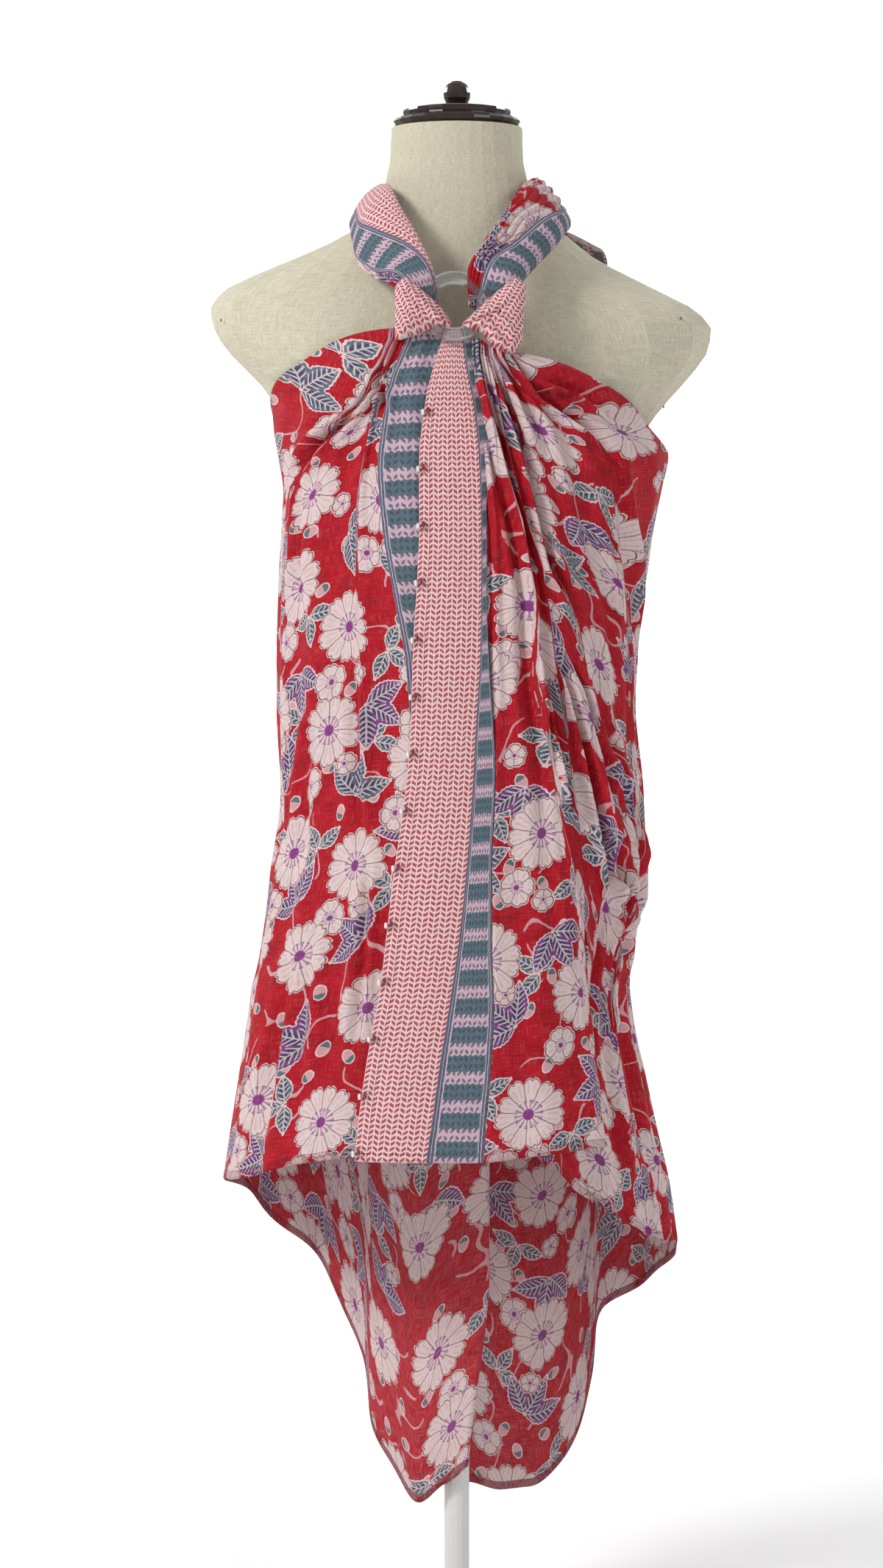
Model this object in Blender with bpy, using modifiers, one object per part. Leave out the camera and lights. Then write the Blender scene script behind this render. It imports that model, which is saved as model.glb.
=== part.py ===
"""A rectangular sarong tied halter-style through a ring, on a limbless dress form with a stand.

The model is in metres with +Z up. The floor is z = 0 and the form faces -Y.
Sizes in the tables are millimetres. Left and right are as seen from the front.
"""

import math

import bmesh
import bpy
import numpy as np
from mathutils import Vector

MM = 0.001

# Cloth sizes
WALL = 1.2
STRAND_WALL = 1.6
SEAM_GAP = 0.6
REST_GAP = 1.9
SLOPE_GAP = 1.6
STRIP_LIFT = 2.6
STRIP_CROWN = 1.2

# The ring at the chest
RING_CENTRE = (-1.7, -117.9, 1042.5)
RING_RADIUS = 22.5
RING_BAND = 5.5
RING_THICKNESS = 3.0
RING_TILT = 15.0
RING_CLEARANCE = 0.35

# The stand
POLE_X = 0.0
POLE_Y = 50.0
POLE_RADIUS = 10.0
BASE_RADIUS = 150.0
BASE_THICKNESS = 14.0
SOCKET_HEIGHT = 8.0
SEAT_GAP = 0.3
TORSO_BOTTOM = 535.0

# The turned cap and finial: radius and height down each profile
CAP_PROFILE = (
    (0, 1204.5), (41, 1204.5), (42.6, 1203.8), (43.2, 1202), (42.8, 1199.6), (44.5, 1198.6),
    (48.8, 1197.2), (50.6, 1194.8), (50.4, 1193), (48, 1191.2), (43, 1190.5), (0, 1190.4),
)
BALL_RADIUS = 11.2
BALL_CENTRE = 1216.8
FINIAL_FOOT = ((8.2, 1207.6), (9.2, 1206.2), (9.2, 1204.8), (0, 1204.8))

# Where the fold in the tail starts under the form, stands beside the pole, and lies before it
FOLD_START = 545.0
FOLD_BESIDE = 450.0
FOLD_BEFORE = 385.0

# The form's sections: half widths to the left and right, depths to the front and back
FORM_COLUMNS = ("height", "left", "right", "front", "back")
FORM_SECTIONS = (
    (535, 96, 96, 62, 76),
    (538, 110, 110, 76, 90),
    (548, 120, 120, 86, 101),
    (565, 127, 127, 91, 108),
    (615, 132, 132, 94, 111),
    (675, 126, 126, 90, 103),
    (750, 111, 111, 84, 90),
    (820, 118, 120, 92, 93),
    (900, 128, 136, 102, 97),
    (950, 137, 144, 104, 98),
    (980, 144, 165, 101, 96),
    (1000, 161, 183, 96, 92),
    (1020, 180, 196, 89, 86),
    (1035, 189, 198, 83, 80),
    (1050, 192, 185, 76, 75),
    (1063, 184, 160, 70, 70),
    (1077, 158, 132, 65, 67),
    (1090, 126, 107, 61, 64),
    (1107, 89, 86, 57, 62),
    (1118, 71, 71, 55, 60),
    (1130, 62, 62, 53.5, 58),
    (1145, 56.5, 56, 51.5, 56),
    (1157, 53, 52, 50, 54),
    (1190, 51, 51, 49, 51),
)
FORM_POWER = 2.1
FORM_TURNS = 32
FORM_RINGS = (
    535, 538, 545, 558, 580, 620, 660, 700, 740, 780, 820, 860, 880, 900, 920, 940, 955, 968, 980,
    991, 1003, 1015, 1026, 1036, 1045, 1053, 1060, 1067, 1075, 1083, 1092, 1100, 1107, 1112, 1118,
    1124, 1130, 1145, 1165, 1190,
)
BUST_ANGLE = 32.0
BUST_SPREAD = 17.0
BUST_HEIGHT = 905.0
BUST_REACH = 40.0
BUST_DEPTH = 22.0

# The hanging cloth's sections, in the same columns as the form's
CLOTH_SECTIONS = (
    (325, 190, 173, 158, 127),
    (372, 183, 166, 157, 127),
    (405, 178, 158, 156, 126),
    (450, 171, 148, 152, 125),
    (489, 165, 139, 149, 124),
    (523, 160, 135, 147, 123),
    (545, 155, 138, 146, 122),
    (585, 149, 144, 144, 121),
    (612, 146, 148, 143, 120),
    (673, 138, 146, 140, 116),
    (743, 141, 139, 138, 112),
    (777, 141, 141, 137, 110),
    (815, 140, 143, 136, 108),
    (846, 139, 149, 135, 106),
    (876, 137, 153, 134, 105),
    (911, 135, 160, 133, 103),
    (937, 139, 165, 131, 100),
    (960, 142, 150, 128, 98),
    (985, 140, 146, 123, 92),
    (1005, 138, 142, 119, 86),
    (1030, 136, 138, 114, 80),
)
CLOTH_POWER = 2.3

# Fold lines of the right front, as distances from the middle at each height
RIGHT_FOLDS = ("height", "strip_side", "long_fold", "under_fold", "bust_fold", "arm_fold")
RIGHT_SECTIONS = (
    (325, 20.2, 110, 65, 100, 166),
    (404, 20.2, 110, 65, 103, 150),
    (436, 21.9, 105, 66, 104, 143),
    (470, 25.1, 102, 72, 106, 136),
    (524, 27.4, 96, 88, 109, 124),
    (560, 26.0, 93, 97, 112, 128),
    (619, 25.9, 86, 95, 111, 138),
    (693, 28.6, 72, 87, 104, 136),
    (777, 24.2, 57, 74, 95, 134),
    (821, 22.5, 57, 68, 87, 132),
    (880, 22.5, 46, 53, 64, 124),
    (915, 21.0, 36, 43, 55, 120),
    (950, 18.5, 28, 34, 46, 100),
    (975, 15.0, 22, 28, 37, 62),
    (1006, 11.0, 17, 21, 26, 39),
)
RIGHT_TOP = (1003, 1002, 1003, 1005, 1006, 943)
RIGHT_HEM = (404, 412, 405, 377, 332, 323)
RIGHT_LIFT_TOP = (6.0, 6.0, 4.0, 5.0, 4.0, 0.0)
RIGHT_LIFT_MIDDLE = (2.6, 5.0, 1.0, 3.0, 2.0, 0.0)
RIGHT_LIFT_HEM = (2.6, 7.0, -8.0, -20.0, -6.0, 0.0)
RIGHT_RIPPLES = (2, 1, 1, 3, 2)
RIGHT_DEPTHS = (4.0, 0.3, 0.8, 5.0, 4.0)
RIGHT_PLEAT = 1

# Fold lines of the left front, as distances from the middle at each height
LEFT_FOLDS = ("height", "hidden_end", "band_side", "long_crease", "arm_fold")
LEFT_SECTIONS = (
    (372, -42, -68, -112, -170),
    (404, -40, -66, -109, -166),
    (470, -30, -58, -98, -157),
    (560, -20, -44, -86, -145),
    (640, -14, -35, -77, -134),
    (700, -10, -33, -75, -132),
    (777, -6, -38, -76, -132),
    (821, -5, -46, -78, -131),
    (880, -5, -56, -77, -127),
    (922, -5, -59, -72, -118),
    (950, -6, -56, -66, -96),
    (984, -8, -50, -57, -64),
    (1019, -10, -37, -43, -49),
)
LEFT_TOP = (1008, 1014, 1016, 1018, 972)
LEFT_HEM = (406, 407, 401, 380, 372)
LEFT_LIFT_TOP = (-1.0, 2.0, 0.0, 4.0, 0.0)
LEFT_LIFT_MIDDLE = (-1.5, 1.0, -4.0, 2.0, 0.0)
LEFT_LIFT_HEM = (-1.5, 0.0, -2.0, 3.0, 0.0)
LEFT_RIPPLES = (1, 1, 2, 1)
LEFT_DEPTHS = (1.0, 3.0, 4.0, 4.0)

# Edges of the border strip, as distances from the middle at each height
STRIP_EDGES = ("height", "bead_edge", "pink_edge")
STRIP_SECTIONS = (
    (404, -75, -22.5),
    (435, -72, -18),
    (478, -66, -12),
    (534, -56, -3.3),
    (568, -52, 1.6),
    (619, -46, 7),
    (669, -39, 11),
    (720, -34, 13.7),
    (787, -32, 17.6),
    (837, -29, 18.2),
    (880, -27.5, 18.0),
    (924, -27.5, 16.5),
    (970, -23, 12),
    (1001, -16, 6),
    (1024, -9, 3.5),
)
STRIP_TOP = (1018, 1021, 997)
STRIP_HEM = (404, 404, 404)
STRIP_TUCK = 5.6
STRIP_DROP = 2.2

# Stations across the back, from the left side to the right side. Turn is the angle from the
# middle of the back. Beside and before are places from the pole where the fold stands beside
# it and lies before it.
BACK_COLUMNS = ("turn", "beside_x", "beside_y", "before_x", "before_y", "drift", "hem", "free")
BACK_STATIONS = (
    (-90, -175, -50, -183, -50, 0, 372, 0.0),
    (-70, -160, 5, -160, 5, 0, 356, 0.0),
    (-56, -138, 36, -138, 36, 0, 319, 0.0),
    (-44, -115, 50, -115, 48, 0, 290, 0.3),
    (-35, -92, 60, -90, 48, 2, 246, 1.0),
    (-30, -77, 56, -75, 36, 2, 209, 1.0),
    (-27, -69, 50, -69, 26, 0, 163, 1.0),
    (-24, -56, 34, -50, 6, 0, 131, 1.0),
    (-21, -44, 12, -31, -10, 0, 106, 1.0),
    (-19, -34, -8, -9, -18, 0, 124, 1.0),
    (-17, -26, -18, 21, -22.5, -16, 137, 1.0),
    (-15, -20.5, -18.5, 26, -19, -18, 138, 1.0),
    (-13, -17.5, -10, 8, -15.2, -7, 130, 1.0),
    (-11, -16, -2, -10.6, -11, 0, 121, 1.0),
    (-9, -15.2, 6, -15.2, 0, 0, 120, 1.0),
    (-6, -9, 24, -9, 12.5, 0, 119, 1.0),
    (2, 10, 44, 10, 20, 0, 117, 1.0),
    (12, 34, 58, 36, 36, 0, 107, 1.0),
    (20, 56, 62, 60, 48, 0, 107, 1.0),
    (29, 82, 60, 86, 52, 0, 128, 1.0),
    (34, 101, 57, 101, 52, 0, 158, 1.0),
    (38, 111, 54, 110, 50, 0, 198, 1.0),
    (44, 121, 48, 120, 44, 0, 244, 0.6),
    (60, 142, 20, 142, 20, 0, 271, 0.0),
    (75, 160, -10, 160, -10, 0, 298, 0.0),
    (90, 170, -50, 173, -50, 0, 323, 0.0),
)
BACK_TOP = (972, 955, 943)
BACK_HEIGHTS = (
    955, 920, 860, 790, 720, 650, 590, 545, 518, 498, 478, 460, 442, 425, 408, 390, 365, 320,
    265, 210, 160, 110,
)
BACK_WAVES = 9
BACK_WAVE_DEPTH = 3.2

# Strands: inner edge, outer edge and crown of each section
STRAND_COLUMNS = ("inner_x", "inner_y", "inner_z", "outer_x", "outer_y", "outer_z", "crown")
LEFT_STRAND = (
    (-19, -113, 1068.5, -47, -111, 1058.5, 8),
    (-29, -97, 1096, -58, -90, 1063, 11),
    (-42, -76, 1121, -76, -71, 1079, 10),
    (-52, -45, 1142, -80, -53, 1097, 6),
    (-58.8, -4, 1147.2, -83.5, -8, 1115, 4),
    (-51, 34, 1149, -77, 44, 1111, 4),
    (-37, 52, 1147, -50, 64, 1109, 6),
    (-17.9, 66, 1142, -22.9, 84, 1108, 7),
)
RIGHT_STRAND = (
    (11, -113, 1069.7, 49, -110, 1058.7, 10),
    (21, -97, 1094, 56, -88, 1070, 13),
    (37, -74, 1119, 74, -66, 1091, 12),
    (51, -43, 1143, 83, -40, 1105, 10),
    (60, -2, 1152, 86.3, 3, 1113.2, 8),
    (52, 34, 1150, 79, 44, 1112, 6),
    (37, 52, 1147, 50, 64, 1109, 6),
    (19.8, 66, 1142, 24.8, 84, 1108, 7),
)
RIGHT_END = (
    (15.6, 92.3, 1133, 17.6, 94.5, 1109, 3.5),
    (52, 88, 1132, 56, 96, 1104, 5),
    (84, 72, 1120, 88, 82, 1090, 5),
    (114, 48, 1102, 114, 60, 1078, 4),
)
LEFT_END = (
    (-2, 86, 1102.7, -22, 86, 1103.9, 4),
    (-2, 86, 1076, -30, 84, 1074, 5),
    (2, 94, 1040, -36, 91, 1036, 6),
    (8, 104, 1002, -36, 102, 990, 5),
)

# Knots: centre, half sizes and lean
KNOTS = (
    ("left_knot", (-27.5, -119.5, 1041.5), (18, 12, 27.5), -16),
    ("right_knot", (27.5, -119.5, 1038.5), (19, 12, 31.5), 20),
    ("nape_knot", (0, 84, 1121), (24.5, 13, 18), 0),
)


def smooth_curve(places, values):
    """Give a monotone cubic through the values, flat beyond both ends."""
    x = np.asarray(places, float)
    y = np.asarray(values, float)
    step = np.diff(x)
    slope = np.diff(y) / step
    rate = np.zeros_like(y)
    rate[0] = slope[0]
    rate[-1] = slope[-1]
    for i in range(1, len(y) - 1):
        if slope[i - 1] * slope[i] > 0:
            near = 2 * step[i] + step[i - 1]
            far = step[i] + 2 * step[i - 1]
            rate[i] = (near + far) / (near / slope[i - 1] + far / slope[i])

    def value(at):
        at = min(max(at, x[0]), x[-1])
        i = int(min(max(np.searchsorted(x, at) - 1, 0), len(x) - 2))
        t = (at - x[i]) / step[i]
        return float(
            y[i] * (1 + 2 * t) * (1 - t) ** 2
            + step[i] * rate[i] * t * (1 - t) ** 2
            + y[i + 1] * t * t * (3 - 2 * t)
            + step[i] * rate[i + 1] * t * t * (t - 1)
        )

    return value


def table_curves(columns, rows):
    """Give a curve over the first column for each other named column."""
    first = [row[0] for row in rows]
    return {
        name: smooth_curve(first, [row[i] for row in rows])
        for i, name in enumerate(columns)
        if i > 0
    }


def ease(low, high, at):
    """Rise smoothly from 0 at low to 1 at high."""
    t = min(max((at - low) / (high - low), 0.0), 1.0)
    return t * t * (3 - 2 * t)


FORM = table_curves(FORM_COLUMNS, FORM_SECTIONS)
CLOTH = table_curves(FORM_COLUMNS, CLOTH_SECTIONS)


def oval_radius(curves, power, angle, height):
    """Distance from the axis to an oval section; the angle runs from the front to the right."""
    across = math.sin(angle)
    along = math.cos(angle)
    side = curves["right" if across > 0 else "left"](height)
    face = curves["front" if along > 0 else "back"](height)
    return ((abs(across) / side) ** power + (abs(along) / face) ** power) ** (-1 / power)


def form_radius(angle, height):
    """Distance from the axis to the dress form."""
    turn = math.degrees(angle)
    rise = math.exp(-(((height - BUST_HEIGHT) / BUST_REACH) ** 2))
    swell = sum(
        math.exp(-(((turn - side * BUST_ANGLE) / BUST_SPREAD) ** 2)) for side in (-1, 1)
    )
    return oval_radius(FORM, FORM_POWER, angle, height) + BUST_DEPTH * rise * swell


def cloth_radius(angle, height, lift=0.0):
    """Distance from the axis to the cloth, which hangs clear of the form or rests on it."""
    turn = (math.degrees(angle) + 180) % 360 - 180
    gap = REST_GAP + SLOPE_GAP * ease(950, 1000, height)
    inner = form_radius(math.radians(turn), height) + gap + max(lift, 0.0)
    outer = oval_radius(CLOTH, CLOTH_POWER, angle, height) + lift
    if height < TORSO_BOTTOM - 8:
        return outer
    return 0.5 * (inner + outer + math.hypot(inner - outer, 3.0)) - 0.4


def angle_at(across, height):
    """Angle at which the cloth is the given distance from the middle, seen from the front."""
    low = -math.pi / 2
    high = math.pi / 2
    for _ in range(30):
        middle = (low + high) / 2
        if cloth_radius(middle, height) * math.sin(middle) < across:
            low = middle
        else:
            high = middle
    return (low + high) / 2


def polar_point(angle, height, lift=0.0):
    """A point of the cloth at an angle and height."""
    reach = cloth_radius(angle, height, lift)
    return (reach * math.sin(angle), -reach * math.cos(angle), height)


def blend(values, at):
    """Read a list at a place between its entries."""
    i = min(int(at), len(values) - 2)
    return values[i] + (values[i + 1] - values[i]) * (at - i)


def fold_shares(share, tight):
    """Shares of the way across and of the depth between a fold's edge and its inner turn."""
    across = share * share * share * (10 - 15 * share + 6 * share * share)
    deep = share + 0.1 * math.sin(2 * math.pi * share)
    return share + (across - share) * tight, share + (deep - share) * tight


def front_panel(columns, sections, top, hem, lifts, ripples, depths, side_angle, rows, pleat):
    """Points of a front panel, from its fold lines at each height to the seam at the side."""
    curves = table_curves(columns, sections)
    names = columns[1:]
    places = []
    for span, count in enumerate(ripples):
        steps = max(4 * count, 4)
        places += [span + k / steps for k in range(steps)]
    places.append(float(len(ripples)))
    grid = []
    for row in range(rows + 1):
        v = (row / rows) ** 1.15
        line = []
        angles = []
        heights = [top[i] + (hem[i] - top[i]) * v for i in range(len(top))]
        for i, name in enumerate(names):
            angles.append(angle_at(curves[name](heights[i]), heights[i]))
        angles.append(side_angle)
        for place in places:
            height = blend(heights, place)
            span = min(int(place), len(ripples) - 1)
            share = place - span
            tight = ease(0.5, 0.7, v) if span == pleat else 0.0
            across, deep = fold_shares(share, tight)
            lift_top, lift_middle, lift_hem = (blend(kind, span + deep) for kind in lifts)
            lift = lift_middle + (lift_top - lift_middle) * (1 - ease(0.0, 0.3, v))
            lift += (lift_hem - lift_middle) * ease(0.56, 0.86, v)
            wave = 0.5 - 0.5 * math.cos(2 * math.pi * ripples[span] * share)
            uneven = 0.75 + 0.25 * math.sin(2.3 * place * len(ripples) + 3 * v)
            lift -= depths[span] * (0.35 + 0.65 * ease(0.0, 0.25, v)) * uneven * wave
            line.append(polar_point(blend(angles, span + across), height, lift))
        grid.append(line)
    return grid


def strip_panel(rows):
    """Points of the border strip, made from the panel under it and moved out."""
    curves = table_curves(STRIP_EDGES, STRIP_SECTIONS)
    seam = table_curves(RIGHT_FOLDS, RIGHT_SECTIONS)["strip_side"]
    places = (0.0, 0.25, 0.5, 0.75, 1.0, 1.35, 1.7, 2.0)
    grid = []
    for row in range(rows + 1):
        v = row / rows
        line = []
        for place in places:
            height = blend([t + (h - t) * v for t, h in zip(STRIP_TOP, STRIP_HEM)], place)
            edges = [curves[name](height) for name in STRIP_EDGES[1:]]
            edges.append(seam(height) - SEAM_GAP + STRIP_TUCK * ease(885, 930, height))
            under = max(place - 1.0, 0.0)
            lift = STRIP_LIFT - STRIP_DROP * under * ease(850, 890, height)
            lift += STRIP_CROWN * math.sin(math.pi * min(place, 1.0))
            line.append(polar_point(angle_at(blend(edges, place), height), height, lift))
        grid.append(line)
    return grid


def back_panel_points():
    """Points of the back, with its waves, its tail and the knife fold round the pole."""
    index = range(len(BACK_STATIONS))
    station = {
        name: smooth_curve(index, [row[i] for row in BACK_STATIONS])
        for i, name in enumerate(BACK_COLUMNS)
    }
    last = len(BACK_STATIONS) - 1
    top_curve = smooth_curve((0, last / 2, last), BACK_TOP)
    seam = math.degrees(SEAM_GAP / 2 / 150)
    places = []
    for i in range(last):
        parts = 3 if i in (0, 1, 2, 22, 23) else 1 if 9 <= i <= 15 or i in (5, 6, 20) else 2
        places += [i + k / parts for k in range(parts)]
    places.append(float(last))
    lowest = BACK_HEIGHTS[-1]
    shares = [(BACK_HEIGHTS[0] - z) / (BACK_HEIGHTS[0] - lowest) for z in BACK_HEIGHTS]
    grid = []
    for share in shares:
        line = []
        for place in places:
            top = top_curve(place)
            height = top + (station["hem"](place) - top) * share
            turn = station["turn"](place)
            turn = max(min(turn, 90 - seam), seam - 90)
            wave = math.sin(math.pi * BACK_WAVES * (turn + 90) / 180) ** 2
            fade = ease(0.0, 0.12, share) * min((90 - abs(turn)) / 12, 1.0)
            lift = BACK_WAVE_DEPTH * (1.6 * wave - 0.4) * fade
            skirt = polar_point(math.pi - math.radians(turn), height, lift)
            beside = (station["beside_x"](place), station["beside_y"](place))
            before = (station["before_x"](place), station["before_y"](place))
            drift = station["drift"](place) * ease(300, 110, height)
            turned = 1 - ease(FOLD_BEFORE, FOLD_BESIDE, height)
            free = station["free"](place) * (1 - ease(FOLD_BESIDE, FOLD_START, height))
            tail_x = POLE_X + beside[0] + (before[0] - beside[0]) * turned + drift
            tail_y = POLE_Y + beside[1] + (before[1] - beside[1]) * turned
            x = skirt[0] + (tail_x - skirt[0]) * free
            y = skirt[1] + (tail_y - skirt[1]) * free
            line.append((x, y, height))
        grid.append(line)
    return grid


def strand_points(rows, steps, low=-28.0, high=208.0, around=12):
    """Points of a gathered strand: an open fold of cloth over the line between its edges."""
    index = range(len(rows))
    curve = {
        name: smooth_curve(index, [row[i] for row in rows])
        for i, name in enumerate(STRAND_COLUMNS)
    }
    last = len(rows) - 1
    stations = [last * k / steps for k in range(steps + 1)]
    inner = [Vector([curve["inner_" + a](s) for a in "xyz"]) for s in stations]
    outer = [Vector([curve["outer_" + a](s) for a in "xyz"]) for s in stations]
    grid = []
    for k, s in enumerate(stations):
        middle = (inner[k] + outer[k]) / 2
        across = (outer[k] - inner[k]) / 2
        before = max(k - 1, 0)
        after = min(k + 1, steps)
        along = (inner[after] + outer[after] - inner[before] - outer[before]).normalized()
        out = across.cross(along).normalized()
        if out.dot(Vector((middle.x, middle.y, 25.0))) < 0:
            out = -out
        line = []
        for j in range(around + 1):
            turn = math.radians(low + (high - low) * j / around)
            layer = 1 + 0.09 * math.cos(3 * turn)
            point = middle + across * (math.cos(turn) * layer)
            point += out * (curve["crown"](s) * math.sin(turn) * layer)
            line.append(tuple(point))
        grid.append(line)
    return grid


def material(name, colour, roughness, metallic=0.0):
    """A plain Principled material."""
    made = bpy.data.materials.new(name)
    made.use_nodes = True
    shader = made.node_tree.nodes["Principled BSDF"]
    shader.inputs["Base Color"].default_value = (*colour, 1.0)
    shader.inputs["Roughness"].default_value = roughness
    shader.inputs["Metallic"].default_value = metallic
    return made


def add_object(name, mesh, colour, roughness=0.8):
    """Put a mesh in the collection as a named object with a material of its own."""
    made = bpy.data.objects.new(name, mesh)
    mesh.materials.append(material(name, colour, roughness))
    parts.objects.link(made)
    return made


def grid_mesh(name, grid, closed=False, capped=False):
    """A mesh from rows of points in millimetres, with quads between them."""
    shape = bmesh.new()
    rows = [[shape.verts.new([c * MM for c in point]) for point in line] for line in grid]
    for upper, lower in zip(rows, rows[1:]):
        count = len(upper)
        for i in range(count if closed else count - 1):
            j = (i + 1) % count
            shape.faces.new((upper[i], lower[i], lower[j], upper[j]))
    if capped:
        shape.faces.new(rows[0])
        shape.faces.new(list(reversed(rows[-1])))
    bmesh.ops.recalc_face_normals(shape, faces=shape.faces)
    mesh = bpy.data.meshes.new(name)
    shape.to_mesh(mesh)
    shape.free()
    mesh.shade_smooth()
    return mesh


def add_cloth(name, grid, colour, wall=WALL):
    """A cloth wall: an open sheet of points with Solidify on it."""
    sheet = add_object(name, grid_mesh(name, grid), colour)
    solid = sheet.modifiers.new("wall", "SOLIDIFY")
    solid.thickness = wall * MM
    solid.offset = 0.0
    return sheet


def add_turned(name, profile, centre, colour, segments, roughness):
    """A turned piece: a profile from the top to the bottom, swept with Screw."""
    mesh = bpy.data.meshes.new(name)
    points = [(r * MM, 0, z * MM) for r, z in profile]
    mesh.from_pydata(points, [(i, i + 1) for i in range(len(points) - 1)], [])
    made = add_object(name, mesh, colour, roughness)
    made.location = (centre[0] * MM, centre[1] * MM, 0)
    screw = made.modifiers.new("turn", "SCREW")
    screw.steps = segments
    screw.render_steps = segments
    screw.use_merge_vertices = True
    screw.merge_threshold = 0.00005
    screw.use_smooth_shade = True
    return made


def ring_mesh(name, grow):
    """The ring's flattened torus, grown by a clearance where it serves as a cutter."""
    bpy.ops.mesh.primitive_torus_add(
        major_segments=28,
        minor_segments=8,
        major_radius=RING_RADIUS * MM,
        minor_radius=(RING_BAND + grow) * MM,
    )
    made = bpy.context.object
    made.name = name
    flat = (RING_THICKNESS + grow) / (RING_BAND + grow)
    for vert in made.data.vertices:
        vert.co.z *= flat
    made.rotation_euler = (math.radians(90 - RING_TILT), 0, 0)
    made.location = [c * MM for c in RING_CENTRE]
    for owner in list(made.users_collection):
        owner.objects.unlink(made)
    return made


def add_ring():
    """The clear ring."""
    made = ring_mesh("ring", 0.0)
    made.data.materials.append(material("ring", (0.85, 0.88, 0.9), 0.05))
    made.data.shade_smooth()
    parts.objects.link(made)


def add_knot(name, centre, half, lean, cutter):
    """A knot: a creased lump of turned cloth, with the ring's band passing through it."""
    shape = bmesh.new()
    bmesh.ops.create_uvsphere(shape, u_segments=18, v_segments=11, radius=1.0)
    tilt = math.radians(lean)
    for vert in shape.verts:
        round_it = math.atan2(vert.co.y, vert.co.x)
        crease = 1 + 0.07 * math.cos(5 * round_it + 2.2 * vert.co.z)
        x = vert.co.x * half[0] * crease
        y = vert.co.y * half[1] * crease
        z = vert.co.z * half[2]
        turned_x = x * math.cos(tilt) + z * math.sin(tilt)
        turned_z = z * math.cos(tilt) - x * math.sin(tilt)
        vert.co = [c * MM for c in (centre[0] + turned_x, centre[1] + y, centre[2] + turned_z)]
    mesh = bpy.data.meshes.new(name)
    shape.to_mesh(mesh)
    shape.free()
    mesh.shade_smooth()
    made = add_object(name, mesh, (0.72, 0.42, 0.45))
    if cutter:
        cut = made.modifiers.new("ring way", "BOOLEAN")
        cut.operation = "DIFFERENCE"
        cut.object = cutter


def add_form():
    """The limbless form, lofted through its oval sections."""
    turns = [2 * math.pi * k / FORM_TURNS for k in range(FORM_TURNS)]
    grid = []
    for height in reversed(FORM_RINGS):
        line = []
        for turn in turns:
            angle = turn if turn <= math.pi else turn - 2 * math.pi
            reach = form_radius(angle, height)
            line.append((reach * math.sin(angle), -reach * math.cos(angle), height))
        grid.append(line)
    mesh = grid_mesh("form_torso", grid, closed=True, capped=True)
    mesh.set_sharp_from_angle(angle=math.radians(60))
    add_object("form_torso", mesh, (0.61, 0.58, 0.48), 0.9)


def add_hard_pieces():
    """The cap, its finial, the pole and the base."""
    wood = (0.03, 0.01, 0.01)
    steel = (0.55, 0.55, 0.55)
    add_turned("neck_cap", CAP_PROFILE, (0, 0), wood, 24, 0.15)
    finial = [(0, BALL_CENTRE + BALL_RADIUS)]
    for fall in range(22, 130, 21):
        reach = BALL_RADIUS * math.sin(math.radians(fall))
        rise = BALL_RADIUS * math.cos(math.radians(fall))
        finial.append((reach, BALL_CENTRE + rise))
    finial += FINIAL_FOOT
    add_turned("cap_finial", finial, (0, 0), wood, 16, 0.12)
    pole_top = TORSO_BOTTOM - SEAT_GAP
    pole_foot = BASE_THICKNESS + SOCKET_HEIGHT + SEAT_GAP
    pole = ((0, pole_top), (POLE_RADIUS, pole_top), (POLE_RADIUS, pole_foot), (0, pole_foot))
    add_turned("stand_pole", pole, (POLE_X, POLE_Y), steel, 16, 0.35)
    socket_top = BASE_THICKNESS + SOCKET_HEIGHT
    base = [(0, socket_top), (15, socket_top), (17, socket_top - 2)]
    base += [(18, BASE_THICKNESS + 1), (26, BASE_THICKNESS), (BASE_RADIUS - 14, 10)]
    base += [(BASE_RADIUS - 3, 7), (BASE_RADIUS, 4), (BASE_RADIUS, 0), (0, 0)]
    add_turned("stand_base", base, (POLE_X, POLE_Y), steel, 32, 0.35)


def add_cloths():
    """The stretches of the sarong."""
    red = (0.55, 0.03, 0.06)
    pink = (0.75, 0.5, 0.52)
    seam = SEAM_GAP / 2 / 150
    left_lifts = (LEFT_LIFT_TOP, LEFT_LIFT_MIDDLE, LEFT_LIFT_HEM)
    right_lifts = (RIGHT_LIFT_TOP, RIGHT_LIFT_MIDDLE, RIGHT_LIFT_HEM)
    left = front_panel(
        LEFT_FOLDS, LEFT_SECTIONS, LEFT_TOP, LEFT_HEM, left_lifts, LEFT_RIPPLES, LEFT_DEPTHS,
        seam - math.pi / 2, 20, None,
    )
    right = front_panel(
        RIGHT_FOLDS, RIGHT_SECTIONS, RIGHT_TOP, RIGHT_HEM, right_lifts, RIGHT_RIPPLES,
        RIGHT_DEPTHS, math.pi / 2 - seam, 22, RIGHT_PLEAT,
    )
    add_cloth("left_front_panel", left, red)
    add_cloth("right_front_panel", right, (0.5, 0.04, 0.08))
    add_cloth("front_border_strip", strip_panel(22), pink)
    add_cloth("back_panel", back_panel_points(), (0.6, 0.06, 0.1))
    add_cloth("left_halter", strand_points(LEFT_STRAND, 12), (0.5, 0.25, 0.4), STRAND_WALL)
    add_cloth("right_halter", strand_points(RIGHT_STRAND, 12), (0.3, 0.35, 0.5), STRAND_WALL)
    add_cloth("nape_end_right", strand_points(RIGHT_END, 6, around=8), red, STRAND_WALL)
    add_cloth("nape_end_left", strand_points(LEFT_END, 6, around=8), pink, STRAND_WALL)


for thing in list(bpy.data.objects):
    bpy.data.objects.remove(thing, do_unlink=True)

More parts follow.
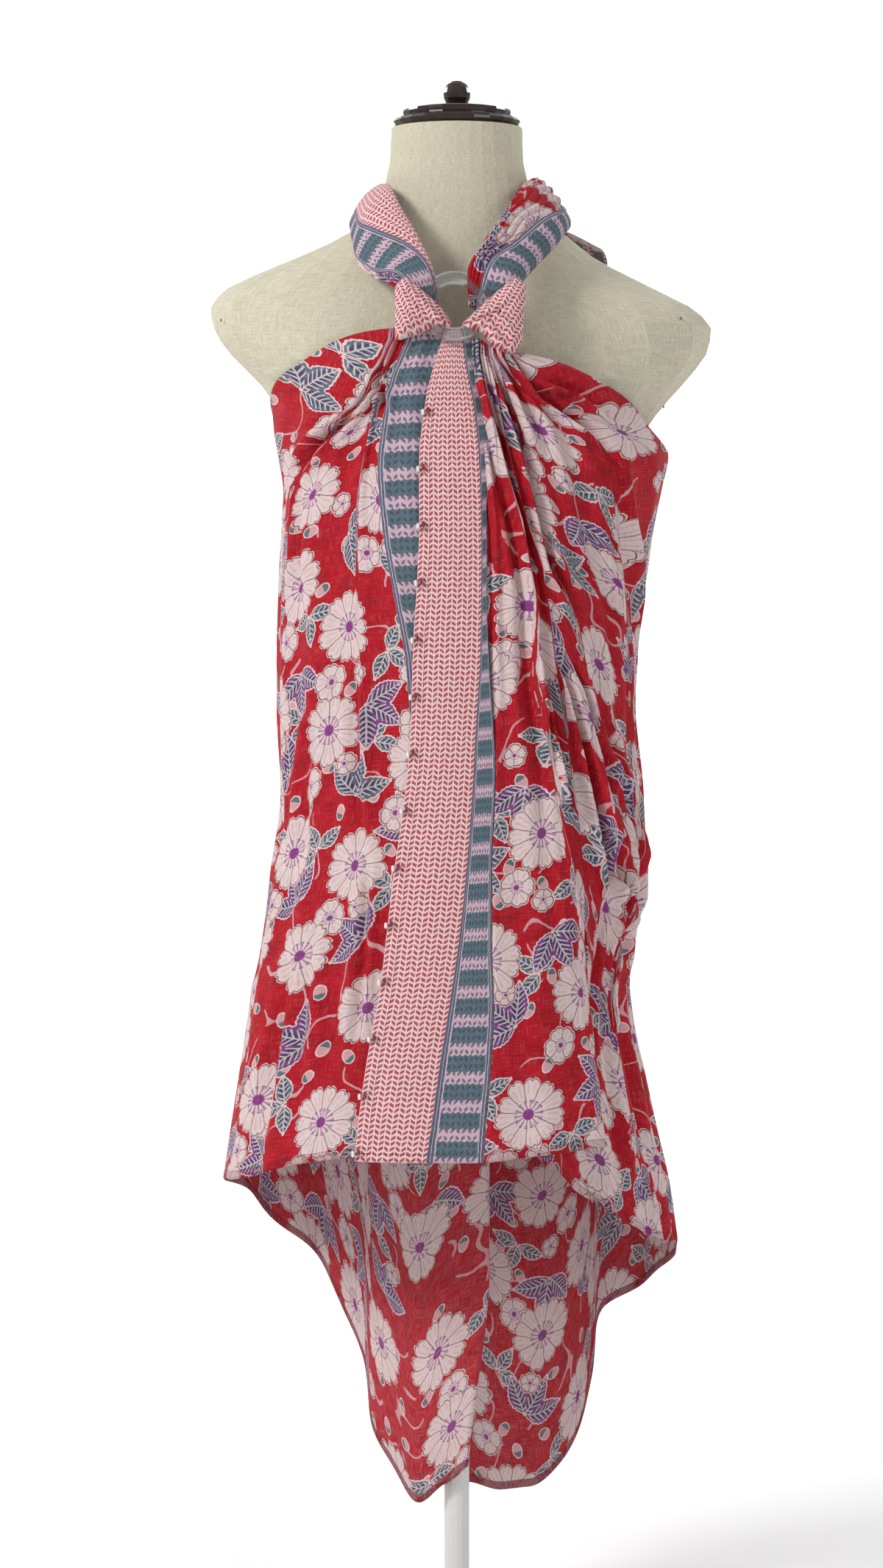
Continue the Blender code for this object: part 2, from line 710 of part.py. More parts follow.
parts = bpy.data.collections.new("sarong_on_dress_form")
cutters = bpy.data.collections.new("cutters")
bpy.context.scene.collection.children.link(parts)
bpy.context.scene.collection.children.link(cutters)

add_form()
add_hard_pieces()
add_ring()
ring_cutter = ring_mesh("ring_cutter", RING_CLEARANCE)
ring_cutter.hide_render = True
ring_cutter.display_type = "WIRE"
cutters.objects.link(ring_cutter)
for knot_name, knot_centre, knot_half, knot_lean in KNOTS:
    near_ring = knot_centre[1] < 0
    add_knot(knot_name, knot_centre, knot_half, knot_lean, ring_cutter if near_ring else None)
add_cloths()
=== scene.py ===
import math

import bmesh
import bpy
import numpy as np
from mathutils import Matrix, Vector


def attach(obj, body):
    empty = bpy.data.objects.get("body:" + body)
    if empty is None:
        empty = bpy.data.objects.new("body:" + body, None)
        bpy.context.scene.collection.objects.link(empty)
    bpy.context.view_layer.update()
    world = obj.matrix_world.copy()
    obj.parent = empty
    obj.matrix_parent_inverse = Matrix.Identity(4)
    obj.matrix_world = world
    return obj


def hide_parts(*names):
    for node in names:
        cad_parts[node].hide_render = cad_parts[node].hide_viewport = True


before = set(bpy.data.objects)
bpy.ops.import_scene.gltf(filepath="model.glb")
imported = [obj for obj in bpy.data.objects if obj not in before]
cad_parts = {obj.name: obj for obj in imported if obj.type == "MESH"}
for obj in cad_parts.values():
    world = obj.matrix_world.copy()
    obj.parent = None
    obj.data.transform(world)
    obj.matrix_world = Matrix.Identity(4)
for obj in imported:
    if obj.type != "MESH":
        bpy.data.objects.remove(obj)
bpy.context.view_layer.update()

mm = 0.001

# The camera stands in front at chest height, and comes first
camera = {"place": (0.0, -3.0, 0.776), "target": (-0.012, 0.0, 0.6808), "lens": 88.15}


def addAimed(name, data, place, target):
    made = bpy.data.objects.new(name, data)
    bpy.context.scene.collection.objects.link(made)
    made.location = place
    aim = Vector(target) - Vector(place)
    made.rotation_euler = aim.to_track_quat("-Z", "Y").to_euler()
    return made


def addCamera():
    made = addAimed("camera", bpy.data.cameras.new("camera"), camera["place"], camera["target"])
    made.data.lens = camera["lens"]
    made.data.sensor_width = 36
    bpy.context.scene.camera = made


addCamera()
print("camera set")


# Small helpers for curves through given places

def smoothCurve(places, values):
    x = np.asarray(places, float)
    y = np.asarray(values, float)
    step = np.diff(x)
    slope = np.diff(y) / step
    rate = np.zeros_like(y)
    rate[0] = slope[0]
    rate[-1] = slope[-1]
    for i in range(1, len(y) - 1):
        if slope[i - 1] * slope[i] > 0:
            near = 2 * step[i] + step[i - 1]
            far = step[i] + 2 * step[i - 1]
            rate[i] = (near + far) / (near / slope[i - 1] + far / slope[i])

    def value(at):
        at = np.clip(at, x[0], x[-1])
        i = np.clip(np.searchsorted(x, at) - 1, 0, len(x) - 2)
        t = (at - x[i]) / step[i]
        return (y[i] * (1 + 2 * t) * (1 - t) ** 2 + step[i] * rate[i] * t * (1 - t) ** 2
                + y[i + 1] * t * t * (3 - 2 * t) + step[i] * rate[i + 1] * t * t * (t - 1))

    return value


def tableCurves(columns, rows, numbered=False):
    # one curve for each column, over the first column or over the rows' own numbers
    first = range(len(rows)) if numbered else [row[0] for row in rows]
    return {name: smoothCurve(first, column) for name, column in zip(columns, zip(*rows))}


def ease(low, high, at):
    t = np.clip((np.asarray(at, float) - low) / (high - low), 0.0, 1.0)
    return t * t * (3 - 2 * t)


def between(values, at):
    # reads a list at places between its entries
    values = np.asarray(values, float)
    i = np.clip(np.asarray(at).astype(int), 0, len(values) - 2)
    part = at - i
    return values[i] * (1 - part) + values[i + 1] * part


# The dress form's and the hanging cloth's sections: half widths and depths, in millimetres
sectionColumns = ("height", "left", "right", "front", "back")
formShape = {
    "sections": (
        (535, 96, 96, 62, 76), (538, 110, 110, 76, 90), (548, 120, 120, 86, 101),
        (565, 127, 127, 91, 108), (615, 132, 132, 94, 111), (675, 126, 126, 90, 103),
        (750, 111, 111, 84, 90), (820, 118, 120, 92, 93), (900, 128, 136, 102, 97),
        (950, 137, 144, 104, 98), (980, 144, 165, 101, 96), (1000, 161, 183, 96, 92),
        (1020, 180, 196, 89, 86), (1035, 189, 198, 83, 80), (1050, 192, 185, 76, 75),
        (1063, 184, 160, 70, 70), (1077, 158, 132, 65, 67), (1090, 126, 107, 61, 64),
        (1107, 89, 86, 57, 62), (1118, 71, 71, 55, 60), (1130, 62, 62, 53.5, 58),
        (1145, 56.5, 56, 51.5, 56), (1157, 53, 52, 50, 54), (1190, 51, 51, 49, 51),
    ),
    "power": 2.1, "bustAngle": 32, "bustSpread": 17, "bustHeight": 905, "bustReach": 40,
    "bustDepth": 22, "bottom": 535,
}
clothShape = {
    "sections": (
        (325, 190, 173, 158, 127), (372, 183, 166, 157, 127), (405, 178, 158, 156, 126),
        (450, 171, 148, 152, 125), (489, 165, 139, 149, 124), (523, 160, 135, 147, 123),
        (545, 155, 138, 146, 122), (585, 149, 144, 144, 121), (612, 146, 148, 143, 120),
        (673, 138, 146, 140, 116), (743, 141, 139, 138, 112), (777, 141, 141, 137, 110),
        (815, 140, 143, 136, 108), (846, 139, 149, 135, 106), (876, 137, 153, 134, 105),
        (911, 135, 160, 133, 103), (937, 139, 165, 131, 100), (960, 142, 150, 128, 98),
        (985, 140, 146, 123, 92), (1005, 138, 142, 119, 86), (1030, 136, 138, 114, 80),
    ),
    "power": 2.3, "restGap": 1.9, "slopeGap": 1.6, "blend": 3.0, "inset": 0.4, "below": 8,
}
formCurves = tableCurves(sectionColumns, formShape["sections"])
clothCurves = tableCurves(sectionColumns, clothShape["sections"])


def ovalRadius(curves, power, angle, height):
    across = np.sin(angle)
    along = np.cos(angle)
    side = np.where(across > 0, curves["right"](height), curves["left"](height))
    face = np.where(along > 0, curves["front"](height), curves["back"](height))
    return ((np.abs(across) / side) ** power + (np.abs(along) / face) ** power) ** (-1 / power)


def formRadius(angle, height):
    turn = np.degrees(angle)
    rise = np.exp(-(((height - formShape["bustHeight"]) / formShape["bustReach"]) ** 2))
    swell = sum(np.exp(-(((turn - side * formShape["bustAngle"]) / formShape["bustSpread"]) ** 2))
                for side in (-1, 1))
    return (ovalRadius(formCurves, formShape["power"], angle, height)
            + formShape["bustDepth"] * rise * swell)


def clothRadius(angle, height, lift=0.0):
    turn = np.mod(angle + math.pi, math.tau) - math.pi
    gap = clothShape["restGap"] + clothShape["slopeGap"] * ease(950, 1000, height)
    inner = formRadius(turn, height) + gap + np.maximum(lift, 0.0)
    outer = ovalRadius(clothCurves, clothShape["power"], angle, height) + lift
    both = 0.5 * (inner + outer + np.hypot(inner - outer, clothShape["blend"]))
    both = both - clothShape["inset"]
    return np.where(height < formShape["bottom"] - clothShape["below"], outer, both)


def angleAt(across, height, radius=clothRadius):
    across, height = np.broadcast_arrays(np.asarray(across, float), np.asarray(height, float))
    low = np.full(across.shape, -math.pi / 2)
    high = np.full(across.shape, math.pi / 2)
    for _ in range(24):
        middle = (low + high) / 2
        short = radius(middle, height) * np.sin(middle) < across
        low = np.where(short, middle, low)
        high = np.where(short, high, middle)
    return (low + high) / 2


def polarPoint(angle, height, lift=0.0):
    reach = clothRadius(angle, height, lift)
    return np.stack([reach * np.sin(angle), -reach * np.cos(angle), height + 0 * reach], -1)


def soften(grid, rounds=2):
    # rounds hard turns between fold lines, and keeps the ends
    for _ in range(rounds):
        grid[:, 1:-1] = (grid[:, 2:] + grid[:, :-2] + 2 * grid[:, 1:-1]) / 4
    return grid


creaseShape = {"ends": (0.12, 0.35), "narrow": 0.7, "widening": 0.6, "trough": 0.9, "beside": 1.7}


def creaseLift(across, height, crease):
    # a soft ridge with a trough beside it, along a given path
    path = np.asarray(crease["path"], float)
    legs = np.diff(path, axis=0)
    spans = np.hypot(legs[:, 0], legs[:, 1])
    starts = np.concatenate([[0], np.cumsum(spans)])
    best = np.full(across.shape, 1e9)
    side = np.zeros(across.shape)
    along = np.zeros(across.shape)
    for (x, z), leg, span, start in zip(path[:-1], legs, spans, starts):
        t = np.clip(((across - x) * leg[0] + (height - z) * leg[1]) / span ** 2, 0, 1)
        dx = across - x - t * leg[0]
        dz = height - z - t * leg[1]
        away = np.hypot(dx, dz)
        near = away < best
        best = np.where(near, away, best)
        side = np.where(near, np.sign(dx * leg[1] - dz * leg[0]), side)
        along = np.where(near, (start + t * span) / starts[-1], along)
    ends = crease.get("ends", creaseShape["ends"])
    fade = ease(0, ends[0], along) * (1 - ease(1 - ends[1], 1, along))
    wide = crease["width"] * (creaseShape["narrow"] + creaseShape["widening"] * along)
    off = best * side / wide
    trough = creaseShape["trough"] * np.exp(-(np.abs(off) - creaseShape["beside"]) ** 2)
    return crease["depth"] * fade * (np.exp(-off ** 2) - trough)


def addObject(name, mesh, *finishes):
    mesh.shade_smooth()
    for finish in finishes:
        mesh.materials.append(finish)
    made = bpy.data.objects.new(name, mesh)
    bpy.context.scene.collection.objects.link(made)
    return made


def addShape(name, shape, finish):
    mesh = bpy.data.meshes.new(name)
    shape.to_mesh(mesh)
    shape.free()
    return addObject(name, mesh, finish)


# A cloth sheet: rows of points in millimetres, with its place on the flat cloth as UV

clothWall = 0.6  # millimetres, voile with its print


def facesOut(grid):
    # true where the quads, wound as addSheet winds them, face away from each row's middle
    down = np.diff(grid, axis=0)[:, :-1]
    right = np.diff(grid, axis=1)[:-1]
    away = (grid - grid.mean(axis=1, keepdims=True))[:-1, :-1]
    return float((np.cross(down, right) * away).sum()) > 0


def addSheet(name, grid, flat, outside, inside):
    if not facesOut(grid):
        grid, flat = grid[:, ::-1], flat[:, ::-1]
    rows, count = grid.shape[:2]
    index = np.arange(rows * count).reshape(rows, count)
    quads = np.stack([index[:-1, :-1], index[1:, :-1], index[1:, 1:], index[:-1, 1:]], -1)
    quads = quads.reshape(-1, 4)
    mesh = bpy.data.meshes.new(name)
    mesh.vertices.add(rows * count)
    mesh.vertices.foreach_set("co", (grid * mm).astype(np.float32).ravel())
    mesh.loops.add(quads.size)
    mesh.loops.foreach_set("vertex_index", quads.astype(np.int32).ravel())
    mesh.polygons.add(len(quads))
    mesh.polygons.foreach_set("loop_start", np.arange(0, quads.size, 4, dtype=np.int32))
    mesh.update(calc_edges=True)
    layer = mesh.uv_layers.new(name="flat")
    places = flat.reshape(-1, 2)[quads.ravel()]
    layer.data.foreach_set("uv", places.astype(np.float32).ravel())
    made = addObject(name, mesh, outside, inside)
    wall = made.modifiers.new("cloth wall", "SOLIDIFY")
    wall.thickness = clothWall * mm
    wall.offset = 0
    wall.material_offset = 1
    return made


def arcAlong(grid, axis):
    legs = np.linalg.norm(np.diff(grid, axis=axis), axis=-1)
    total = np.cumsum(legs, axis=axis)
    return np.concatenate([np.zeros_like(np.take(total, [0], axis)), total], axis)


# Materials are sums on a node tree; a wire is one number or colour on its way through it

class Wire:
    def __init__(self, tree, socket):
        self.tree = tree
        self.socket = socket

    def maths(self, operation, *others):
        return maths(self.tree, operation, self, *others)

    def __add__(self, other):
        return self.maths("ADD", other)

    __radd__ = __add__

    def __sub__(self, other):
        return self.maths("SUBTRACT", other)

    def __rsub__(self, other):
        return maths(self.tree, "SUBTRACT", other, self)

    def __mul__(self, other):
        return self.maths("MULTIPLY", other)

    __rmul__ = __mul__

    def __truediv__(self, other):
        return self.maths("DIVIDE", other)

    def __abs__(self):
        return self.maths("ABSOLUTE")

    def __lt__(self, other):
        return self.maths("LESS_THAN", other)

    def __gt__(self, other):
        return self.maths("GREATER_THAN", other)


def plug(tree, socket, value):
    if isinstance(value, Wire):
        tree.links.new(value.socket, socket)
    else:
        socket.default_value = value


def maths(tree, operation, *values):
    node = tree.nodes.new("ShaderNodeMath")
    node.operation = operation
    for socket, value in zip(node.inputs, values):
        plug(tree, socket, value)
    return Wire(tree, node.outputs[0])


def step(low, high, at):
    # rises smoothly from 0 at low to 1 at high
    node = at.tree.nodes.new("ShaderNodeMapRange")
    node.interpolation_type = "SMOOTHSTEP"
    node.inputs["From Min"].default_value = low
    node.inputs["From Max"].default_value = high
    plug(at.tree, node.inputs["Value"], at)
    return Wire(at.tree, node.outputs["Result"])


def drop(low, high, at):
    return 1 - step(low, high, at)


def fraction(at):
    return at.maths("FRACT")


def mix(low, high, share):
    node = share.tree.nodes.new("ShaderNodeMix")
    node.data_type = "RGBA"
    node.inputs["Factor"].default_value = 0.5
    plug(share.tree, node.inputs["Factor"], share)
    for socket, value in ((node.inputs[6], low), (node.inputs[7], high)):
        plug(share.tree, socket, value)
    return Wire(share.tree, node.outputs[2])


def joinXY(x, y):
    node = x.tree.nodes.new("ShaderNodeCombineXYZ")
    plug(x.tree, node.inputs["X"], x)
    plug(x.tree, node.inputs["Y"], y)
    return Wire(x.tree, node.outputs[0])


def splitXY(vector):
    node = vector.tree.nodes.new("ShaderNodeSeparateXYZ")
    plug(vector.tree, node.inputs[0], vector)
    return [Wire(vector.tree, socket) for socket in node.outputs]


def vectorMaths(operation, vector, other):
    node = vector.tree.nodes.new("ShaderNodeVectorMath")
    node.operation = operation
    plug(vector.tree, node.inputs[0], vector)
    plug(vector.tree, node.inputs[1], other)
    return Wire(vector.tree, node.outputs[0])


def noise(vector, scale, detail=2.0, output="Fac"):
    node = vector.tree.nodes.new("ShaderNodeTexNoise")
    plug(vector.tree, node.inputs["Vector"], vector)
    node.inputs["Scale"].default_value = scale
    node.inputs["Detail"].default_value = detail
    return Wire(vector.tree, node.outputs[output])


def threadNoise(vector, close, loose):
    # threads one way and the other, drawn out along their own direction
    warps = noise(vectorMaths("MULTIPLY", vector, (close, loose, 1.0)), 1.0)
    wefts = noise(vectorMaths("MULTIPLY", vector, (loose, close, 1.0)), 1.0)
    return warps + wefts


def whiteNoise(number):
    node = number.tree.nodes.new("ShaderNodeTexWhiteNoise")
    node.noise_dimensions = "1D"
    plug(number.tree, node.inputs["W"], number)
    return Wire(number.tree, node.outputs["Value"])


def dye(red, green, blue):
    # a colour as the eye reads it, turned to the linear light that shaders use
    parts = [c / 255 for c in (red, green, blue)]
    return [c / 12.92 if c <= 0.04045 else ((c + 0.055) / 1.055) ** 2.4 for c in parts] + [1.0]


def newMaterial(name, sockets):
    made = bpy.data.materials.new(name)
    made.use_nodes = True
    tree = made.node_tree
    shader = tree.nodes["Principled BSDF"]
    for label, value in sockets.items():
        shader.inputs[label].default_value = value
    return made, tree, shader


def objectPlace(tree):
    return Wire(tree, tree.nodes.new("ShaderNodeTexCoord").outputs["Object"])


def bump(tree, shader, height, distance, strength):
    node = tree.nodes.new("ShaderNodeBump")
    node.inputs["Distance"].default_value = distance
    node.inputs["Strength"].default_value = strength
    plug(tree, node.inputs["Height"], height)
    tree.links.new(node.outputs[0], shader.inputs["Normal"])


def cloudedMaterial(name, light, dark, scale, sockets, relief=None):
    # two near tones in small clouds, which also roughen the surface where relief is given
    made, tree, shader = newMaterial(name, sockets)
    cloud = noise(objectPlace(tree), scale)
    plug(tree, shader.inputs["Base Color"], mix(light, dark, cloud))
    if relief:
        bump(tree, shader, cloud, *relief)
    return made


# The block print: colours as dyed, with lit and shaded copies of the ground red that paint light
# and shade, sizes in metres on the flat cloth

blockPrint = {
    "ground": dye(172, 4, 28), "groundShadeAndDarkThread": dye(122, 2, 20), "groundLit": dye(190, 10, 36),
    "white": dye(218, 198, 197), "blush": dye(206, 156, 160), "outline": dye(100, 34, 42),
    "purple": dye(118, 66, 124), "heart": dye(132, 54, 126), "teal": dye(84, 110, 116),
    "tealDeep": dye(48, 58, 78), "vein": dye(206, 190, 198),
    "pinkGround": dye(230, 208, 208), "pinkMark": dye(176, 40, 56),
    "lilac": dye(198, 178, 188), "plum": dye(118, 66, 112), "barTeal": dye(86, 108, 118),
    "barDeep": dye(58, 76, 92), "lineBlue": dye(84, 94, 116),
    "turn": 0.47, "spacing": 0.084, "flower": 0.0275, "smallFlower": 0.0138,
    "leaf": 0.032, "leafWide": 0.0084, "sprigLeaf": 0.021, "sprigWide": 0.0056,
    "margin": 0.0012, "stem": 0.0007, "hem": 0.0064, "sideHem": 0.0094, "stitch": 0.0026,
    "chevronWide": 0.0043, "chevronTall": 0.0041, "barPitch": 0.0214, "markPitch": 0.0043,
}


def motifGroup(name, numbers):
    # a node group with a place and some numbers going in
    group = bpy.data.node_groups.new(name, "ShaderNodeTree")
    group.interface.new_socket("Place", in_out="INPUT", socket_type="NodeSocketVector")
    for label in numbers:
        group.interface.new_socket(label, in_out="INPUT", socket_type="NodeSocketFloat")
    source = group.nodes.new("NodeGroupInput")
    return group, [Wire(group, source.outputs[label]) for label in ("Place",) + numbers]


def motifOutputs(group, **values):
    for label in values:
        group.interface.new_socket(label, in_out="OUTPUT", socket_type="NodeSocketFloat")
    sink = group.nodes.new("NodeGroupOutput")
    for label, value in values.items():
        plug(group, sink.inputs[label], value)
    return group


def flowerMotif():
    # an open flower: notched petals with a thin outline, veins, stamens and a heart
    group, wires = motifGroup("open flower", ("Radius", "Petals", "Turn", "Seed"))
    place, radius, petals, turn, seed = wires
    x, y, _ = splitXY(place)
    reach = (x * x + y * y).maths("SQRT")
    angle = y.maths("ARCTAN2", x) + turn
    petal = angle * petals / math.tau
    number = petal.maths("FLOOR")
    part = petal - number - 0.5
    random = whiteNoise(number.maths("FLOORED_MODULO", petals) + seed * 37)
    away = abs(part)
    lobe = 1 - 0.2 * (away * 2).maths("POWER", 3.0) - 0.06 * drop(0.0, 0.13, away)
    edge = radius * (0.9 + 0.14 * random) * lobe
    cover = step(-0.0002, 0.0002, edge + blockPrint["margin"] - reach)
    rim = drop(0.0003, 0.0007, abs(edge - reach))
    gap = (0.5 - away) * math.tau * reach / petals
    between = drop(0.0002, 0.0005, gap) * (reach > radius * 0.3) * (reach < edge)
    share = reach / radius
    vein = drop(0.02, 0.06, abs(away - 0.2)) * (share > 0.66 - 0.2 * random) * (share < 0.86)
    stamen = fraction(angle * 14 / math.tau) - 0.5
    threads = drop(0.12, 0.26, abs(stamen)) * (share > 0.12) * (share < 0.34)
    tips = drop(0.2, 0.34, abs(stamen)) * drop(0.0, 0.035, abs(share - 0.37))
    heart = drop(0.13, 0.17, share) + 0.7 * threads + tips
    return motifOutputs(group, Cover=cover, Line=(rim + between * 0.9).maths("MINIMUM", 1.0),
                        Heart=heart.maths("MINIMUM", 1.0), Tint=vein)


def leafMotif():
    # a leaf lying along its own x from stalk to tip, with herringbone veins
    group, wires = motifGroup("veined leaf", ("Length", "Width"))
    place, length, width = wires
    x, y, _ = splitXY(place)
    along = (x / length).maths("MAXIMUM", 0.0).maths("MINIMUM", 1.0)
    inside = (x > 0.0) * (x < length)
    teeth = abs(fraction(x / 0.0036) - 0.5) * 0.22 + 0.9
    half = width * (along.maths("POWER", 0.8) * math.pi).maths("SINE") * teeth
    off = abs(y)
    near = (x > -0.0015) * (x < length + 0.0012)
    halo = step(-0.0002, 0.0002, half + blockPrint["margin"] - off) * near
    body = step(-0.0002, 0.0002, half - off) * inside
    middle = drop(0.0003, 0.0007, off)
    slant = fraction((x - off * 0.9) / 0.0042)
    side = drop(0.1, 0.22, abs(slant - 0.5)) * (off < half * 0.82)
    vein = (middle + side).maths("MINIMUM", 1.0) * inside
    core = drop(0.35, 0.75, off / half.maths("MAXIMUM", 0.0005)) * inside
    return motifOutputs(group, Halo=halo, Body=body, Vein=vein, Core=core)


openFlower = flowerMotif()
veinedLeaf = leafMotif()


def useMotif(group, **inputs):
    tree = inputs["Place"].tree
    node = tree.nodes.new("ShaderNodeGroup")
    node.node_tree = group
    for label, value in inputs.items():
        plug(tree, node.inputs[label], value)
    return [Wire(tree, socket) for socket in node.outputs]


def scattered(flat, shift, spacing, stray):
    # the place within the nearest motif's own square, and two random numbers for that motif
    moved = vectorMaths("ADD", flat, (shift[0] * spacing, shift[1] * spacing, 0.0))
    node = flat.tree.nodes.new("ShaderNodeTexVoronoi")
    node.voronoi_dimensions = "2D"
    node.inputs["Scale"].default_value = 1 / spacing
    node.inputs["Randomness"].default_value = stray
    plug(flat.tree, node.inputs["Vector"], moved)
    local = vectorMaths("SUBTRACT", moved, Wire(flat.tree, node.outputs["Position"]))
    chance, other, _ = splitXY(Wire(flat.tree, node.outputs["Color"]))
    return local, chance, other


def spray(local, turn, spread, most, start):
    # bends space so that one leaf stands for a fan of them about the motif's middle
    x, y, _ = splitXY(local)
    reach = (x * x + y * y).maths("SQRT")
    angle = (y.maths("ARCTAN2", x) + turn * math.tau).maths("WRAP", math.pi, -math.pi)
    leaf = (angle / spread).maths("ROUND").maths("MINIMUM", most).maths("MAXIMUM", -most)
    angle = angle - leaf * spread
    return joinXY(reach * angle.maths("COSINE") - start, reach * angle.maths("SINE"))


def leafSpray(colour, local, turn, spread, start, length, width, body, show):
    halo, inner, vein, middle = useMotif(veinedLeaf, Length=length, Width=width,
                                         Place=spray(local, turn, spread, 1.0, start))
    colour = mix(colour, blockPrint["white"], halo * show)
    colour = mix(colour, mix(body, blockPrint["tealDeep"], middle * 0.8), inner * show)
    return mix(colour, blockPrint["vein"], vein * inner * show * 0.9)


def turned(flat, angle):
    x, y, _ = splitXY(flat)
    return joinXY(x * math.cos(angle) - y * math.sin(angle),
                  x * math.sin(angle) + y * math.cos(angle))


def floralPrint(flat, ground):
    ink = blockPrint
    wide = ink["spacing"]
    flat = turned(flat, ink["turn"])
    # pale stems wander between the motifs
    wander = noise(flat, 21.0, 0.5)
    gaps = noise(vectorMaths("ADD", flat, (3.0, 1.0, 0.0)), 34.0, 0.0)
    stem = drop(ink["stem"] * 9, ink["stem"] * 15, abs(wander - 0.5)) * step(0.47, 0.5, gaps)
    colour = mix(ground, ink["blush"], stem * 0.9)
    # buds in the gaps
    local, chance, other = scattered(flat, (0.3, 0.1), wide * 0.36, 0.55)
    bud = spray(local, other, 7.0, 0.0, -0.001)
    x, y, _ = splitXY(bud)
    oval = (x * x + y * y * 2.1).maths("SQRT")
    shown = chance > 0.35
    colour = mix(colour, ink["white"], drop(0.0062, 0.0066, oval) * shown)
    colour = mix(colour, ink["blush"], drop(0.0051, 0.0055, oval) * shown)
    colour = mix(colour, ink["teal"], drop(0.0051, 0.0055, oval) * (x < -0.0012) * shown)
    # teal sprigs and purple leaves between the flowers
    local, chance, other = scattered(flat, (0.5, 0.0), wide, 0.3)
    colour = leafSpray(colour, local, other, 1.5, 0.002, ink["sprigLeaf"], ink["sprigWide"],
                       ink["teal"], chance > 0.2)
    local, chance, other = scattered(flat, (0.5, 0.5), wide, 0.3)
    tone = mix(ink["purple"], ink["teal"], (other > 0.7) * 0.75)
    colour = leafSpray(colour, local, other, 1.0, 0.001, ink["leaf"], ink["leafWide"],
                       tone, chance > 0.08)
    # small flowers, then the large ones over everything
    for shift, radius, petals, least in (
        ((0.0, 0.5), ink["smallFlower"], 5.0, 0.15),
        ((0.72, 0.28), ink["smallFlower"] * 0.62, 5.0, 0.3),
        ((0.0, 0.0), ink["flower"], 11.0, -1.0),
    ):
        local, chance, other = scattered(flat, shift, wide, 0.3)
        cover, line, heart, tint = useMotif(openFlower, Place=local, Radius=radius,
                                            Petals=petals, Turn=other * 6.0, Seed=chance)
        shown = chance > least
        petal = mix(ink["white"], ink["blush"], tint * 0.7)
        petal = mix(petal, ink["outline"], line * 0.85)
        petal = mix(petal, ink["heart"], heart)
        colour = mix(colour, petal, cover * shown)
    return colour


def markLattice(across, rise, wide, tall, slope, halfWide, halfTall):
    # slanted marks in columns, every other column slanted the other way
    column = across / wide
    number = column.maths("FLOOR")
    part = column - number - 0.5
    lean = (number.maths("FLOORED_MODULO", 2.0) - 0.5) * 2
    row = fraction((rise + part * lean * slope * wide) / tall) - 0.5
    soft = 0.06
    return (drop(halfWide - soft, halfWide + soft, abs(part))
            * drop(halfTall - soft, halfTall + soft, abs(row)))


def borderPrint(edge, rise):
    # pink chevron ground, then a double line, barred band and double line
    ink = blockPrint
    marks = markLattice(edge, rise, ink["chevronWide"], ink["chevronTall"], 0.62, 0.38, 0.30)
    pink = mix(ink["pinkGround"], ink["pinkMark"], marks * 0.92)
    pitch = ink["markPitch"]
    comb = abs(fraction(edge / pitch + 0.25) - 0.5) * 0.13
    bar = fraction(rise / ink["barPitch"] + comb)
    teal = drop(0.28, 0.3, abs(bar - 0.5))
    dots = markLattice(edge, rise, pitch, ink["barPitch"] / 4, 0.75, 0.3, 0.24)
    barred = mix(mix(ink["lilac"], ink["plum"], dots * 0.85),
                 mix(ink["barTeal"], ink["barDeep"], dots * 0.8), teal)
    pinkEnd = borderStrip["pinkWidth"]
    bandEnd = pinkEnd + borderStrip["bandWidth"]
    lines = sum(drop(width, width + 0.0003, abs(edge - place)) for place, width in (
        (pinkEnd + 0.0012, 0.0009), (pinkEnd + 0.0036, 0.0008),
        (bandEnd - 0.0032, 0.0006), (bandEnd - 0.0010, 0.0007)))
    band = mix(barred, ink["lilac"], (edge < pinkEnd + 0.0056).maths("MAXIMUM",
                                                                    edge > bandEnd - 0.0045))
    band = mix(band, ink["lineBlue"], lines.maths("MINIMUM", 1.0))
    return mix(pink, band, edge > pinkEnd)


